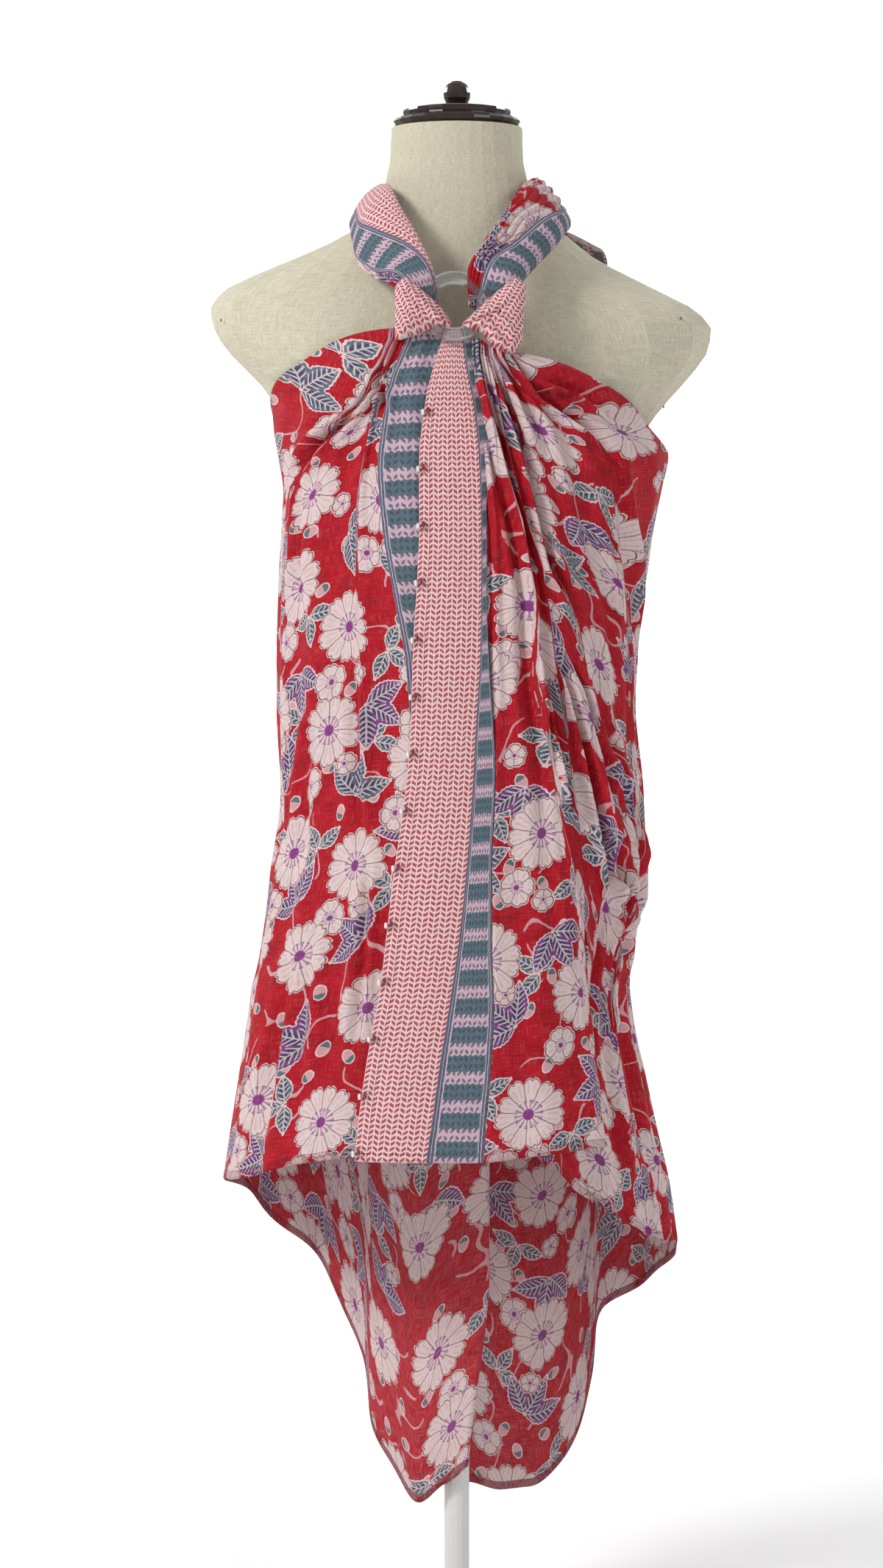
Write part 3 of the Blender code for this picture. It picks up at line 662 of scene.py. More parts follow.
def clothMaterial(name, paler, hemShade):
    made, tree, shader = newMaterial(name, {
        "Roughness": 0.82, "Sheen Weight": 0.02, "Sheen Roughness": 0.5,
        "Specular IOR Level": 0.25})
    ink = blockPrint
    source = tree.nodes.new("ShaderNodeUVMap")
    source.uv_map = "flat"
    exact = Wire(tree, source.outputs[0])
    wobble = vectorMaths("SUBTRACT", noise(exact, 260.0, 1.0, "Color"), (0.5, 0.5, 0.5))
    flat = vectorMaths("ADD", exact, vectorMaths("MULTIPLY", wobble, (0.0012, 0.0012, 0.0)))
    across, rise, _ = splitXY(flat)
    edge = across.maths("MINIMUM", cutAcross - across)
    # painted light and painted shade: random blotches of lit and shaded copies of the ground red
    litAndShadeBlotches = noise(flat, 70.0, 3.0)
    ground = mix(ink["ground"], ink["groundShadeAndDarkThread"], step(0.5, 0.75, litAndShadeBlotches) * 0.55)
    ground = mix(ground, ink["groundLit"], drop(0.3, 0.5, litAndShadeBlotches) * 0.6)
    floral = floralPrint(flat, ground)
    border = borderPrint(edge, rise)
    limit = borderStrip["pinkWidth"] + borderStrip["bandWidth"]
    colour = mix(border, floral, edge > limit)
    # uneven threads, painted shade on the folded hem, and its stitching
    weave = threadNoise(exact, 1500.0, 90.0)
    colour = mix(colour, ink["groundShadeAndDarkThread"], drop(0.80, 0.96, weave) * 0.16)
    colour = mix(colour, ink["white"], step(1.02, 1.2, weave) * 0.07)
    hem = drop(ink["hem"] - 0.0006, ink["hem"], rise)
    # painted shade: the folded hem band is darkened towards the shaded ground red, as much as
    # hemShade
    colour = mix(colour, ink["groundShadeAndDarkThread"], hem * (edge > limit) * hemShade)
    stitch, sideStitch = (
        drop(0.00016, 0.00034, abs(away - fold)) * (fraction(run / ink["stitch"]) < 0.62)
        for away, fold, run in ((rise, ink["hem"], across), (edge, ink["sideHem"], rise)))
    stitch = stitch.maths("MAXIMUM", sideStitch)
    colour = mix(colour, ink["outline"], stitch * 0.75)
    colour = mix(colour, ink["blush"], step(0.7, 1.3, weave) * paler)
    plug(tree, shader.inputs["Base Color"], colour)
    crumple = noise(exact, 55.0, 3.0)
    bump(tree, shader, weave * 0.25 + crumple * 1.2 + hem * 0.6 - stitch * 0.6, 0.0011, 0.75)
    return made


def linenMaterial():
    made, tree, shader = newMaterial("form linen", {
        "Roughness": 0.9, "Sheen Weight": 0.08, "Specular IOR Level": 0.3})
    place = objectPlace(tree)
    x, y, z = splitXY(place)
    turn = x.maths("ARCTAN2", y) * 0.12
    cloth = joinXY(turn, z)
    weave = threadNoise(cloth, 1300.0, 110.0)
    tone = noise(place, 9.0, 3.0)
    colour = mix(dye(218, 212, 190), dye(196, 189, 165), step(0.8, 1.2, weave) * 0.8)
    colour = mix(colour, dye(198, 190, 160), step(0.45, 0.75, tone) * 0.3)
    plug(tree, shader.inputs["Base Color"], colour)
    bump(tree, shader, weave, 0.0006, 0.7)
    return made


def woodMaterial():
    made, tree, shader = newMaterial("espresso wood", {
        "Roughness": 0.22, "Coat Weight": 0.8, "Coat Roughness": 0.07})
    grain = noise(vectorMaths("MULTIPLY", objectPlace(tree), (180.0, 24.0, 180.0)), 1.0, 3.0)
    colour = mix(dye(36, 18, 17), dye(62, 32, 26), step(0.45, 0.7, grain) * 0.6)
    plug(tree, shader.inputs["Base Color"], colour)
    bump(tree, shader, grain, 0.0002, 0.25)
    return made


def clearMaterial():
    return cloudedMaterial("clear acrylic", dye(250, 252, 252), dye(236, 242, 244), 90.0,
                           {"Roughness": 0.02, "Transmission Weight": 0.94, "IOR": 1.49},
                           (0.0001, 0.03))


def paintMaterial():
    return cloudedMaterial("pale satin paint", dye(226, 226, 224), dye(212, 212, 210), 400.0,
                           {"Roughness": 0.35}, (0.0002, 0.3))


def backdropMaterial():
    return cloudedMaterial("pale paper", dye(250, 250, 250), dye(246, 246, 246), 3.0,
                           {"Roughness": 0.95})


# The front panels hang from the knots: fold lines at each height, then the lifts between them

rightFront = {
    "columns": ("height", "strip_side", "long_fold", "under_fold", "bust_fold", "arm_fold"),
    "sections": (
        (325, 20.2, 110, 65, 100, 166), (404, 20.2, 110, 65, 103, 150),
        (436, 21.9, 105, 66, 104, 143), (470, 25.1, 102, 72, 106, 136),
        (524, 27.4, 96, 88, 109, 124), (560, 26.0, 93, 97, 112, 128),
        (619, 25.9, 86, 95, 111, 138), (693, 28.6, 72, 87, 104, 136),
        (777, 24.2, 57, 74, 95, 134), (821, 22.5, 57, 68, 87, 132), (880, 22.5, 46, 53, 64, 124),
        (915, 21.0, 36, 43, 55, 120), (950, 18.5, 28, 34, 46, 100), (975, 15.0, 22, 28, 37, 62),
        (1006, 11.0, 17, 21, 26, 39),
    ),
    "top": (1018, 1017, 1014, 1011, 1008, 943),
    "hem": (404, 412, 405, 377, 332, 323),
    "lifts": ((6.0, 6.0, 4.0, 5.0, 4.0, 0.0), (2.6, 5.0, 1.0, 3.0, 2.0, 0.0),
              (2.6, 7.0, -8.0, -20.0, -6.0, 0.0)),
    "ripples": (2, 1, 1, 3, 2), "depths": (5.6, 0.3, 0.8, 7.6, 6.4), "pleat": 1, "sharper": 2.7,
    "rows": 210, "steps": 22, "gather": {"count": 11, "depth": 3.1, "ends": 0.44},
    "creases": (
        {"path": ((11, 1004), (17.6, 959), (24, 878), (25, 777), (30, 690)), "width": 2.3,
         "depth": -2.5},
        {"path": ((15, 1002), (25, 956), (36, 912), (46, 880), (57, 821), (58, 787), (68, 720),
                  (81, 652), (90, 585)), "width": 3.9, "depth": 3.5},
        {"path": ((25, 1007), (42, 959), (51, 931), (61, 892), (71, 850), (87, 821), (95, 777)),
         "width": 3.5, "depth": -3.5},
        {"path": ((30, 1008), (57, 953), (72, 930)), "width": 3.5, "depth": -3},
        {"path": ((39, 1007), (61, 976), (84, 961), (106, 946), (118, 926), (123, 888),
                  (131, 838), (136, 777)), "width": 3.5, "depth": -4},
        {"path": ((61, 985), (91, 975), (111, 959), (120, 936)), "width": 3.1, "depth": 3},
        {"path": ((62, 774), (74, 686), (80, 633), (89, 563), (96, 504)), "width": 2.5,
         "depth": -4},
        {"path": ((77, 780), (97, 695), (112, 622), (124, 563)), "width": 2.5, "depth": -4.5},
        {"path": ((86, 783), (108, 701), (127, 592), (131, 520)), "width": 2.3, "depth": -4.5},
        {"path": ((112, 739), (132, 657), (137, 622), (139, 560)), "width": 2.3, "depth": -4},
        {"path": ((120, 500), (128, 440), (138, 370)), "width": 3.9, "depth": 3},
    ),
}
leftFront = {
    "columns": ("height", "hidden_end", "band_side", "long_crease", "arm_fold"),
    "sections": (
        (372, -42, -68, -112, -170), (404, -40, -66, -109, -166), (470, -30, -58, -98, -157),
        (560, -20, -44, -86, -145), (640, -14, -35, -77, -134), (700, -10, -33, -75, -132),
        (777, -6, -38, -76, -132), (821, -5, -46, -78, -131), (880, -5, -56, -77, -127),
        (922, -5, -59, -72, -118), (950, -6, -56, -66, -96), (984, -8, -50, -57, -64),
        (1019, -10, -37, -43, -49),
    ),
    "top": (1024, 1026, 1027, 1026, 972),
    "hem": (406, 407, 401, 380, 372),
    "lifts": ((-1.0, 2.0, 0.0, 4.0, 0.0), (-1.5, 1.0, -4.0, 2.0, 0.0),
              (-1.5, 0.0, -2.0, 3.0, 0.0)),
    "ripples": (1, 1, 2, 1), "depths": (1.0, 4.0, 5.4, 5.4), "pleat": -1, "sharper": 2.4,
    "rows": 200, "steps": 22, "gather": {"count": 9, "depth": 2.3, "ends": 0.34},
    "creases": (
        {"path": ((-56, 985), (-82, 961), (-104, 942), (-119, 922), (-129, 912)), "width": 3.5,
         "depth": -4},
        {"path": ((-50, 990), (-70, 970), (-92, 955), (-118, 940)), "width": 3.1, "depth": 3},
        {"path": ((-119, 919), (-118, 872), (-121, 820)), "width": 3.1, "depth": -3.5},
        {"path": ((-77, 800), (-76, 740), (-75, 680), (-73, 620)), "width": 3.9, "depth": -4,
         "ends": (0.4, 0.4)},
        {"path": ((-114, 740), (-123, 690), (-128, 610)), "width": 3.9, "depth": 3},
        {"path": ((-56, 1000), (-58, 985), (-54, 960)), "width": 2.7, "depth": -3},
        {"path": ((-98, 620), (-104, 540), (-112, 450)), "width": 5.5, "depth": 3,
         "ends": (0.4, 0.2)},
        {"path": ((-66, 640), (-70, 560), (-78, 470)), "width": 3.1, "depth": -3,
         "ends": (0.3, 0.3)},
        {"path": ((-126, 560), (-138, 480), (-150, 400)), "width": 3.9, "depth": -3},
    ),
}


def foldShares(share, tight):
    across = share ** 3 * (10 - 15 * share + 6 * share ** 2)
    deep = share + 0.1 * np.sin(math.tau * share)
    return share + (across - share) * tight, share + (deep - share) * tight


def frontPanel(panel, sideAngle):
    curves = tableCurves(panel["columns"], panel["sections"])
    spans = len(panel["ripples"])
    place = np.concatenate([np.arange(spans * panel["steps"]) / panel["steps"], [spans]])
    v = (np.arange(panel["rows"] + 1) / panel["rows"])[:, None]
    index = np.arange(spans + 1)
    top = smoothCurve(index, panel["top"])(place)
    hem = smoothCurve(index, panel["hem"])(place)
    height = top + (hem - top) * v
    span = np.minimum(place.astype(int), spans - 1)
    share = place - span
    tight = ease(0.5, 0.7, v) * (span == panel["pleat"])
    across, deep = foldShares(share, tight)
    names = panel["columns"][1:]
    lines = []
    for i in range(spans + 1):
        along = panel["top"][i] + (panel["hem"][i] - panel["top"][i]) * v[:, 0]
        if i < spans:
            lines.append(angleAt(curves[names[i]](along), along))
        else:
            lines.append(np.full(len(v), sideAngle))
    lines = np.asarray(lines).T
    angle = lines[:, span] + (lines[:, span + 1] - lines[:, span]) * across
    liftTop, liftMiddle, liftHem = (between(kind, span + deep) for kind in panel["lifts"])
    lift = liftMiddle + (liftTop - liftMiddle) * (1 - ease(0.0, 0.3, v))
    lift = lift + (liftHem - liftMiddle) * ease(0.56, 0.86, v)
    plain = polarPoint(angle, height, lift)  # before its ripples and creases, for the print
    ripples = np.asarray(panel["ripples"])[span]
    depths = np.asarray(panel["depths"])[span]
    wave = 0.5 - 0.5 * np.cos(math.tau * ripples * share)
    uneven = 0.75 + 0.25 * np.sin(2.3 * place * spans + 3 * v)
    lift = lift - depths * (0.35 + 0.65 * ease(0.0, 0.25, v)) * uneven * wave
    gather = panel["gather"]
    swing = math.tau * gather["count"] * (place / spans + 0.012 * np.sin(7 * place + 5 * v))
    lift = lift + (gather["depth"] * (0.5 + np.sin(swing)) * (1 - ease(0.02, gather["ends"], v))
                   * (0.65 + 0.35 * np.sin(4.1 * place)) * np.minimum(1, 2.5 * place)
                   * np.minimum(1, spans - place))
    points = polarPoint(angle, height, lift)
    shown = np.where(tight > 0.3, 0.0, 1.0)
    shown = shown * (1 - 0.75 * ease(spans - 0.55, spans - 0.1, place))
    for crease in panel["creases"]:
        lift = lift + shown * panel["sharper"] * creaseLift(points[..., 0], points[..., 2], crease)
    return soften(polarPoint(angle, height, lift)), plain


borderStrip = {
    "columns": ("height", "bead_edge", "pink_edge"),
    "sections": (
        (404, -75, -22.5), (435, -72, -18), (478, -66, -12), (534, -56, -3.3), (568, -52, 1.6),
        (619, -46, 7), (669, -39, 11), (720, -34, 13.7), (787, -32, 17.6), (837, -29, 18.2),
        (880, -27.5, 18.0), (924, -27.5, 16.5), (970, -23, 12), (1001, -16, 6), (1024, -9, 3.5),
    ),
    "top": (1024, 1026, 1002), "hem": 404,
    "lift": 2.6, "crown": 1.2, "tuck": 5.6, "drop": 2.2, "seamGap": 0.6,
    "rows": 220, "steps": 40, "pinkWidth": 0.055, "bandWidth": 0.0405,
}


def stripPanel():
    strip = borderStrip
    curves = tableCurves(strip["columns"], strip["sections"])
    seam = tableCurves(rightFront["columns"], rightFront["sections"])["strip_side"]
    place = np.arange(2 * strip["steps"] + 1) / strip["steps"]
    v = (np.arange(strip["rows"] + 1) / strip["rows"])[:, None]
    top = smoothCurve((0, 1, 2), strip["top"])(place)
    height = top + (strip["hem"] - top) * v
    bead = curves["bead_edge"](height)
    pink = curves["pink_edge"](height)
    band = seam(height) - strip["seamGap"] + strip["tuck"] * ease(885, 930, height)
    over = np.minimum(place, 1.0)
    under = np.maximum(place - 1.0, 0.0)
    x = bead + (pink - bead) * over + (band - pink) * under
    lift = strip["lift"] - strip["drop"] * under * ease(850, 890, height)
    lift = lift + strip["crown"] * np.sin(math.pi * over)
    lift = lift * (1 - 0.8 * ease(1004, 1018, height))
    return soften(polarPoint(angleAt(x, height), height, lift)), place


# The back: stations from the left side to the right, with the long tail and its knife fold

backPanel = {
    "columns": ("turn", "beside_x", "beside_y", "before_x", "before_y", "drift", "hem", "free"),
    "stations": (
        (-90, -175, -50, -183, -50, 0, 372, 0.0), (-70, -160, 5, -160, 5, 0, 356, 0.0),
        (-56, -138, 36, -138, 36, 0, 319, 0.0), (-44, -115, 50, -115, 48, 0, 290, 0.3),
        (-35, -92, 60, -90, 48, 2, 246, 1.0), (-30, -77, 56, -75, 36, 2, 209, 1.0),
        (-27, -69, 50, -69, 26, 0, 163, 1.0), (-24, -56, 34, -50, 6, 0, 131, 1.0),
        (-21, -44, 12, -31, -10, 0, 106, 1.0), (-19, -34, -8, -9, -18, 0, 124, 1.0),
        (-17, -26, -18, 21, -22.5, -16, 137, 1.0), (-15, -20.5, -18.5, 26, -19, -18, 138, 1.0),
        (-13, -17.5, -10, 8, -15.2, -7, 130, 1.0), (-11, -16, -2, -10.6, -11, 0, 121, 1.0),
        (-9, -15.2, 6, -15.2, 0, 0, 120, 1.0), (-6, -9, 24, -9, 12.5, 0, 119, 1.0),
        (2, 10, 44, 10, 20, 0, 117, 1.0), (12, 34, 58, 36, 36, 0, 107, 1.0),
        (20, 56, 62, 60, 48, 0, 107, 1.0), (29, 82, 60, 86, 52, 0, 128, 1.0),
        (34, 101, 57, 101, 52, 0, 158, 1.0), (38, 111, 54, 110, 50, 0, 198, 1.0),
        (44, 121, 48, 120, 44, 0, 244, 0.6), (60, 142, 20, 142, 20, 0, 271, 0.0),
        (75, 160, -10, 160, -10, 0, 298, 0.0), (90, 170, -50, 173, -50, 0, 323, 0.0),
    ),
    "top": (972, 955, 943), "waves": 9, "waveDepth": 3.2, "sideFade": 12, "pole": (0.0, 50.0),
    "foldStart": 545, "foldBeside": 450, "foldBefore": 385, "foldStation": 11,
    "crowdTurn": -14, "crowdSpread": 11, "crowdDepth": 1.8, "crowdPitch": 5.5,
    "rows": 220, "steps": 8,
}


def backPoints():
    back = backPanel
    station = tableCurves(back["columns"], back["stations"], True)
    last = len(back["stations"]) - 1
    place = np.arange(last * back["steps"] + 1) / back["steps"]
    share = (np.arange(back["rows"] + 1) / back["rows"])[:, None]
    top = smoothCurve((0, last / 2, last), back["top"])(place)
    height = top + (station["hem"](place) - top) * share
    turn = np.clip(station["turn"](place), -89.9, 89.9)
    wave = np.sin(math.pi * back["waves"] * (turn + 90) / 180) ** 2
    fade = ease(0.0, 0.12, share) * np.minimum((90 - np.abs(turn)) / back["sideFade"], 1.0)
    lift = back["waveDepth"] * (1.6 * wave - 0.4) * fade
    # small gathers above the tail's fold
    crowd = np.exp(-((turn - back["crowdTurn"]) / back["crowdSpread"]) ** 2)
    crowd = crowd * ease(0.0, 0.05, share) * (1 - ease(0.3, 0.62, share))
    lift = lift + back["crowdDepth"] * crowd * (0.5 + np.sin(math.tau * turn / back["crowdPitch"]))
    skirt = polarPoint(math.pi - np.radians(turn), height, lift)
    turned = 1 - ease(back["foldBefore"], back["foldBeside"], height)
    free = station["free"](place) * (1 - ease(back["foldBeside"], back["foldStart"], height))
    drift = station["drift"](place) * ease(300, 110, height)
    besideX, besideY = station["beside_x"](place), station["beside_y"](place)
    beforeX, beforeY = station["before_x"](place), station["before_y"](place)
    tailX = back["pole"][0] + besideX + (beforeX - besideX) * turned + drift
    tailY = back["pole"][1] + besideY + (beforeY - besideY) * turned
    x = skirt[..., 0] + (tailX - skirt[..., 0]) * free
    y = skirt[..., 1] + (tailY - skirt[..., 1]) * free
    return soften(np.stack([x, y, height], -1))


# The strands of the halter and the ends behind the neck, as gathered tubes left open at the back

strandColumns = ("inner_x", "inner_y", "inner_z", "outer_x", "outer_y", "outer_z", "crown")
strands = {
    "left_halter_cloth": {
        "pinkInside": True,
        "bands": ((0.0, 0.6), (0.12, 0.66), (0.28, 0.78), (0.48, 0.86), (0.62, 0.95), (0.6, 0.97),
                  (0.55, 0.97), (0.5, 0.97), (0.5, 0.97)),
        "rows": (
            (-13, -105, 1033, -37, -104, 1026, 3),
            (-17, -113, 1066.5, -47, -111, 1057.5, 8), (-29, -97, 1096, -58, -90, 1063, 11),
            (-42, -76, 1121, -76, -71, 1079, 10), (-52, -45, 1142, -80, -53, 1097, 6),
            (-58.8, -4, 1147.2, -83.5, -8, 1115, 4), (-51, 34, 1149, -77, 44, 1111, 4),
            (-37, 52, 1147, -50, 64, 1109, 6), (-17.9, 66, 1142, -22.9, 84, 1108, 7),
        ),
    },
    "right_halter_cloth": {
        "pinkInside": False,
        "bands": ((0.3, 1.0), (0.34, 1.0), (0.42, 1.02), (0.5, 1.05), (0.62, 1.06), (0.7, 1.08),
                  (0.72, 1.08), (0.72, 1.08), (0.72, 1.08)),
        "rows": (
            (9, -101, 1044, 35, -102, 1033, 3),
            (8, -113, 1067.7, 48, -110, 1057.7, 10), (21, -97, 1094, 56, -88, 1070, 13),
            (37, -74, 1119, 74, -66, 1091, 12), (51, -43, 1143, 83, -40, 1105, 10),
            (60, -2, 1152, 86.3, 3, 1113.2, 8), (52, 34, 1150, 79, 44, 1112, 6),
            (37, 52, 1147, 50, 64, 1109, 6), (19.8, 66, 1142, 24.8, 84, 1108, 7),
        ),
    },
    "nape_end_right_cloth": {
        "pinkInside": False, "bands": ((0.1, 0.9),) * 4,
        "rows": (
            (15.6, 92.3, 1133, 17.6, 94.5, 1109, 3.5), (52, 88, 1132, 56, 96, 1104, 5),
            (84, 72, 1120, 88, 82, 1090, 5), (114, 48, 1102, 114, 60, 1078, 4),
        ),
    },
    "nape_end_left_cloth": {
        "pinkInside": True, "bands": ((-0.6, -0.2),) * 4,
        "rows": (
            (-2, 86, 1102.7, -22, 86, 1103.9, 4), (-2, 86, 1076, -30, 84, 1074, 5),
            (2, 94, 1040, -36, 91, 1036, 6), (8, 104, 1002, -36, 102, 990, 5),
        ),
    },
}

gathers = {"around": 110, "low": -28.0, "high": 208.0, "width": 0.076, "count": 5, "depth": 5.0,
           "proud": 2.4, "roll": 3.0, "seen": (-0.2, 1.2)}


def strandPoints(strand, steps):
    rows = strand["rows"]
    index = np.arange(len(rows))
    at = np.linspace(0, index[-1], steps + 1)
    curve = {name: line(at) for name, line in tableCurves(strandColumns, rows, True).items()}
    inner = np.stack([curve["inner_" + a] for a in "xyz"], -1)
    outer = np.stack([curve["outer_" + a] for a in "xyz"], -1)
    middle = (inner + outer) / 2
    across = (outer - inner) / 2
    along = np.gradient(middle, axis=0)
    along /= np.linalg.norm(along, axis=1, keepdims=True)
    out = np.cross(across, along)
    out /= np.linalg.norm(out, axis=1, keepdims=True)
    flip = np.sign(out[:, 0] * middle[:, 0] + out[:, 1] * middle[:, 1] + out[:, 2] * 25)
    out *= np.where(flip < 0, -1.0, 1.0)[:, None]
    degrees = np.linspace(gathers["low"], gathers["high"], gathers["around"] + 1)[None, :]
    share = 1 - degrees / 180  # 0 at the inner edge, 1 at the outer
    starts, ends = (smoothCurve(index, [row[i] for row in strand["bands"]])(at)[:, None]
                    for i in (0, 1))
    # the bordered part lies smooth and proud, the flowered part is gathered beside it
    if strand["pinkInside"]:
        loose = ease(ends - 0.015, ends + 0.015, share)
        part = (share - ends) / (1.15 - ends)
    else:
        loose = 1 - ease(starts - 0.015, starts + 0.015, share)
        part = share / np.maximum(starts, 0.2)
    rolled = np.sin(math.pi * np.clip((share - starts) / (ends - starts), 0, 1))
    drawn = 0.8 + 0.2 * np.cos(math.tau * (at / index[-1]))[:, None]
    fold = np.abs(np.sin(math.pi * (gathers["count"] * part + 0.25 * np.sin(5 * at)[:, None])))
    raised = (loose * gathers["depth"] * (fold - 0.6) * drawn + (1 - loose) * gathers["proud"] * 0.4
              + (not strand["pinkInside"]) * gathers["roll"] * rolled)
    raised = raised + 0.7 * np.sin(9 * share + 0.8 * at[:, None]) * (1 - loose)
    turn = np.radians(degrees)[..., None]
    size = 0.8 * curve["crown"][:, None, None]
    points = middle[:, None] + across[:, None] * np.cos(turn) * 0.96
    around = across[:, None] / np.linalg.norm(across, axis=1)[:, None, None]
    push = raised[..., None] * (around * np.cos(turn) * 0.4 + out[:, None] * np.abs(np.sin(turn)))
    points = points + out[:, None] * (size * np.sin(turn)) + push
    # its place on the flat cloth
    pink, whole = borderStrip["pinkWidth"], borderStrip["pinkWidth"] + borderStrip["bandWidth"]
    low, high = gathers["seen"]
    places = []
    for start, end in zip(starts[:, 0], ends[:, 0]):
        before = (start - low) * gathers["width"]
        after = (high - end) * gathers["width"]
        if strand["pinkInside"]:
            marks = (pink - before, pink, whole, whole + after)
        else:
            marks = (whole + before, whole, pink, pink - after)
        places.append(np.interp(share[0], (low, start, end, high), marks))
    rise = arcAlong(points, 0)[:, 40:41] * mm + 0.05
    places = np.asarray(places)
    return points, np.stack([places, np.broadcast_to(rise, places.shape)], -1)


# The knots: cloth folded round the sides of the ring, each with the outline of its wedge

knots = {
    "left_knot_cloth": {
        "middle": (-29, 1040), "y": -119.5, "half": 11.5, "turn": 24,
        "outline": ((-46, 1057), (-39, 1064), (-30, 1057), (-16, 1045), (-7, 1035), (-3, 1026.5),
                    (-14, 1025.5), (-24, 1024), (-33, 1020), (-46, 1016), (-46, 1036)),
        "creases": (
            {"path": ((-40, 1058), (-27, 1046), (-6, 1025)), "width": 2.0, "depth": 1.8,
             "ends": (0.1, 0.1)},
            {"path": ((-44, 1040), (-32, 1033), (-10, 1025)), "width": 2.2, "depth": -1.5,
             "ends": (0.3, 0.1)},
            {"path": ((-43, 1028), (-30, 1026), (-18, 1025)), "width": 1.6, "depth": -1.0},
        ),
        "corner": (0.0086, 1.2),
    },
    "right_knot_cloth": {
        "middle": (32, 1037), "y": -119.5, "half": 11.5, "turn": -30,
        "outline": ((2, 1026.5), (6, 1031), (14, 1038), (28, 1051), (44, 1064), (52, 1057),
                    (50, 1038), (49, 1018), (43, 1006), (36, 1005.5), (27, 1011), (19, 1022),
                    (10, 1025)),
        "creases": (
            {"path": ((4, 1026), (24, 1036), (30, 1026), (40, 1011)), "width": 2.0,
             "depth": -2.2, "ends": (0.1, 0.1)},
            {"path": ((10, 1030), (28, 1040), (44, 1052)), "width": 2.2, "depth": 1.6},
            {"path": ((32, 1034), (40, 1026), (46, 1018)), "width": 1.8, "depth": 1.4},
        ),
        "corner": (0.0086, 1.2),
    },
    "nape_knot_cloth": {
        "middle": (0, 1121), "y": 84.0, "half": 12.5, "turn": 0,
        "outline": ((-25, 1126), (-14, 1139), (12, 1138), (25, 1128), (22, 1108), (8, 1103),
                    (-12, 1103), (-24, 1110)),
        "creases": (
            {"path": ((-20, 1130), (0, 1122), (18, 1112)), "width": 3.0, "depth": -2.5},
            {"path": ((-18, 1116), (2, 1110), (20, 1120)), "width": 2.6, "depth": 2.0},
        ),
        "corner": (0.16, 1.0),
    },
}
pinkRun = 0.043  # ten rows of chevrons, turned back at each end


def outlineReach(outline, middle, around):
    # how far the outline lies from the middle in each direction, corners rounded
    turns = np.linspace(0, math.tau, around, endpoint=False)
    reach = np.full(around, 1e9)
    corners = np.asarray(outline, float) - middle
    for (x, z), (nextX, nextZ) in zip(corners, np.roll(corners, -1, axis=0)):
        spanX, spanZ = nextX - x, nextZ - z
        cross = np.cos(turns) * spanZ - np.sin(turns) * spanX
        cross = np.where(np.abs(cross) < 1e-9, 1e-9, cross)
        far = (x * spanZ - z * spanX) / cross
        part = (x * np.sin(turns) - z * np.cos(turns)) / cross
        reach = np.where((far > 0) & (part >= 0) & (part <= 1), np.minimum(reach, far), reach)
    for _ in range(3):
        reach = (np.roll(reach, 1) + 2 * reach + np.roll(reach, -1)) / 4
    return np.append(turns, math.tau), np.append(reach, reach[0])


def knotPoints(knot, rings=90, around=144):
    turns, reach = outlineReach(knot["outline"], np.asarray(knot["middle"], float), around)
    fall = np.linspace(0.02, math.pi - 0.02, rings)[:, None]
    away = np.sin(fall) ** 0.85 * reach
    offX = away * np.cos(turns)
    offZ = away * np.sin(turns)
    x = knot["middle"][0] + offX
    z = knot["middle"][1] + offZ
    side = -1.0 if knot["y"] < 0 else 1.0
    deep = np.sign(np.cos(fall)) * np.abs(np.cos(fall)) ** 0.8 * knot["half"]
    lift = sum(creaseLift(x, z, crease) for crease in knot["creases"])
    shown = ease(-0.1, 0.35, np.cos(fall))
    y = knot["y"] + side * (deep + lift * shown)
    lean = math.radians(knot["turn"])
    across = offX * math.cos(lean) + offZ * math.sin(lean)
    rise = offZ * math.cos(lean) - offX * math.sin(lean)
    back = knot["half"] * (1 - np.cos(fall))
    run = knot["corner"][1] * (across - across.min()) * mm / pinkRun
    u = knot["corner"][0] + pinkRun * np.abs((run + 1) % 2 - 1)
    v = 0.3 + knot["corner"][1] * (rise + back * 0.5) * mm
    return np.stack([x, y, z], -1), np.stack([u, v], -1)


def addCloth(name, node, grid, flat, slot="printed_cotton"):
    piece = addSheet(name, grid, flat, printedCotton, cottonInside)
    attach(piece, "root")
    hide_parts(node)
    return piece


rightGrid, rightPlain = frontPanel(rightFront, math.pi / 2 - 0.002)
leftGrid, leftPlain = frontPanel(leftFront, 0.002 - math.pi / 2)
stripGrid, stripPlace = stripPanel()
backGrid = backPoints()

# Places on the flat cloth run from the bead edge round to the other end, and up from the hem
border = borderStrip["pinkWidth"] + borderStrip["bandWidth"]
leftUnder = 0.0455  # how much of the left end's border lies under the strip and shows beside it
rightAcross = border + arcAlong(rightPlain[-1:], 1)[0] * mm
backAcross = rightAcross[-1] + arcAlong(backGrid[-40:-39, ::-1], 1)[0] * mm
leftSteps = leftFront["steps"]
leftHem = arcAlong(leftPlain[-1:, :leftSteps - 1:-1], 1)[0] * mm
leftAcross = np.concatenate([
    backAcross[-1] + leftHem[-1] + leftUnder * np.linspace(1, 0, leftSteps, endpoint=False),
    backAcross[-1] + leftHem[::-1]])
cutAcross = float(backAcross[-1] + leftHem[-1] + border)


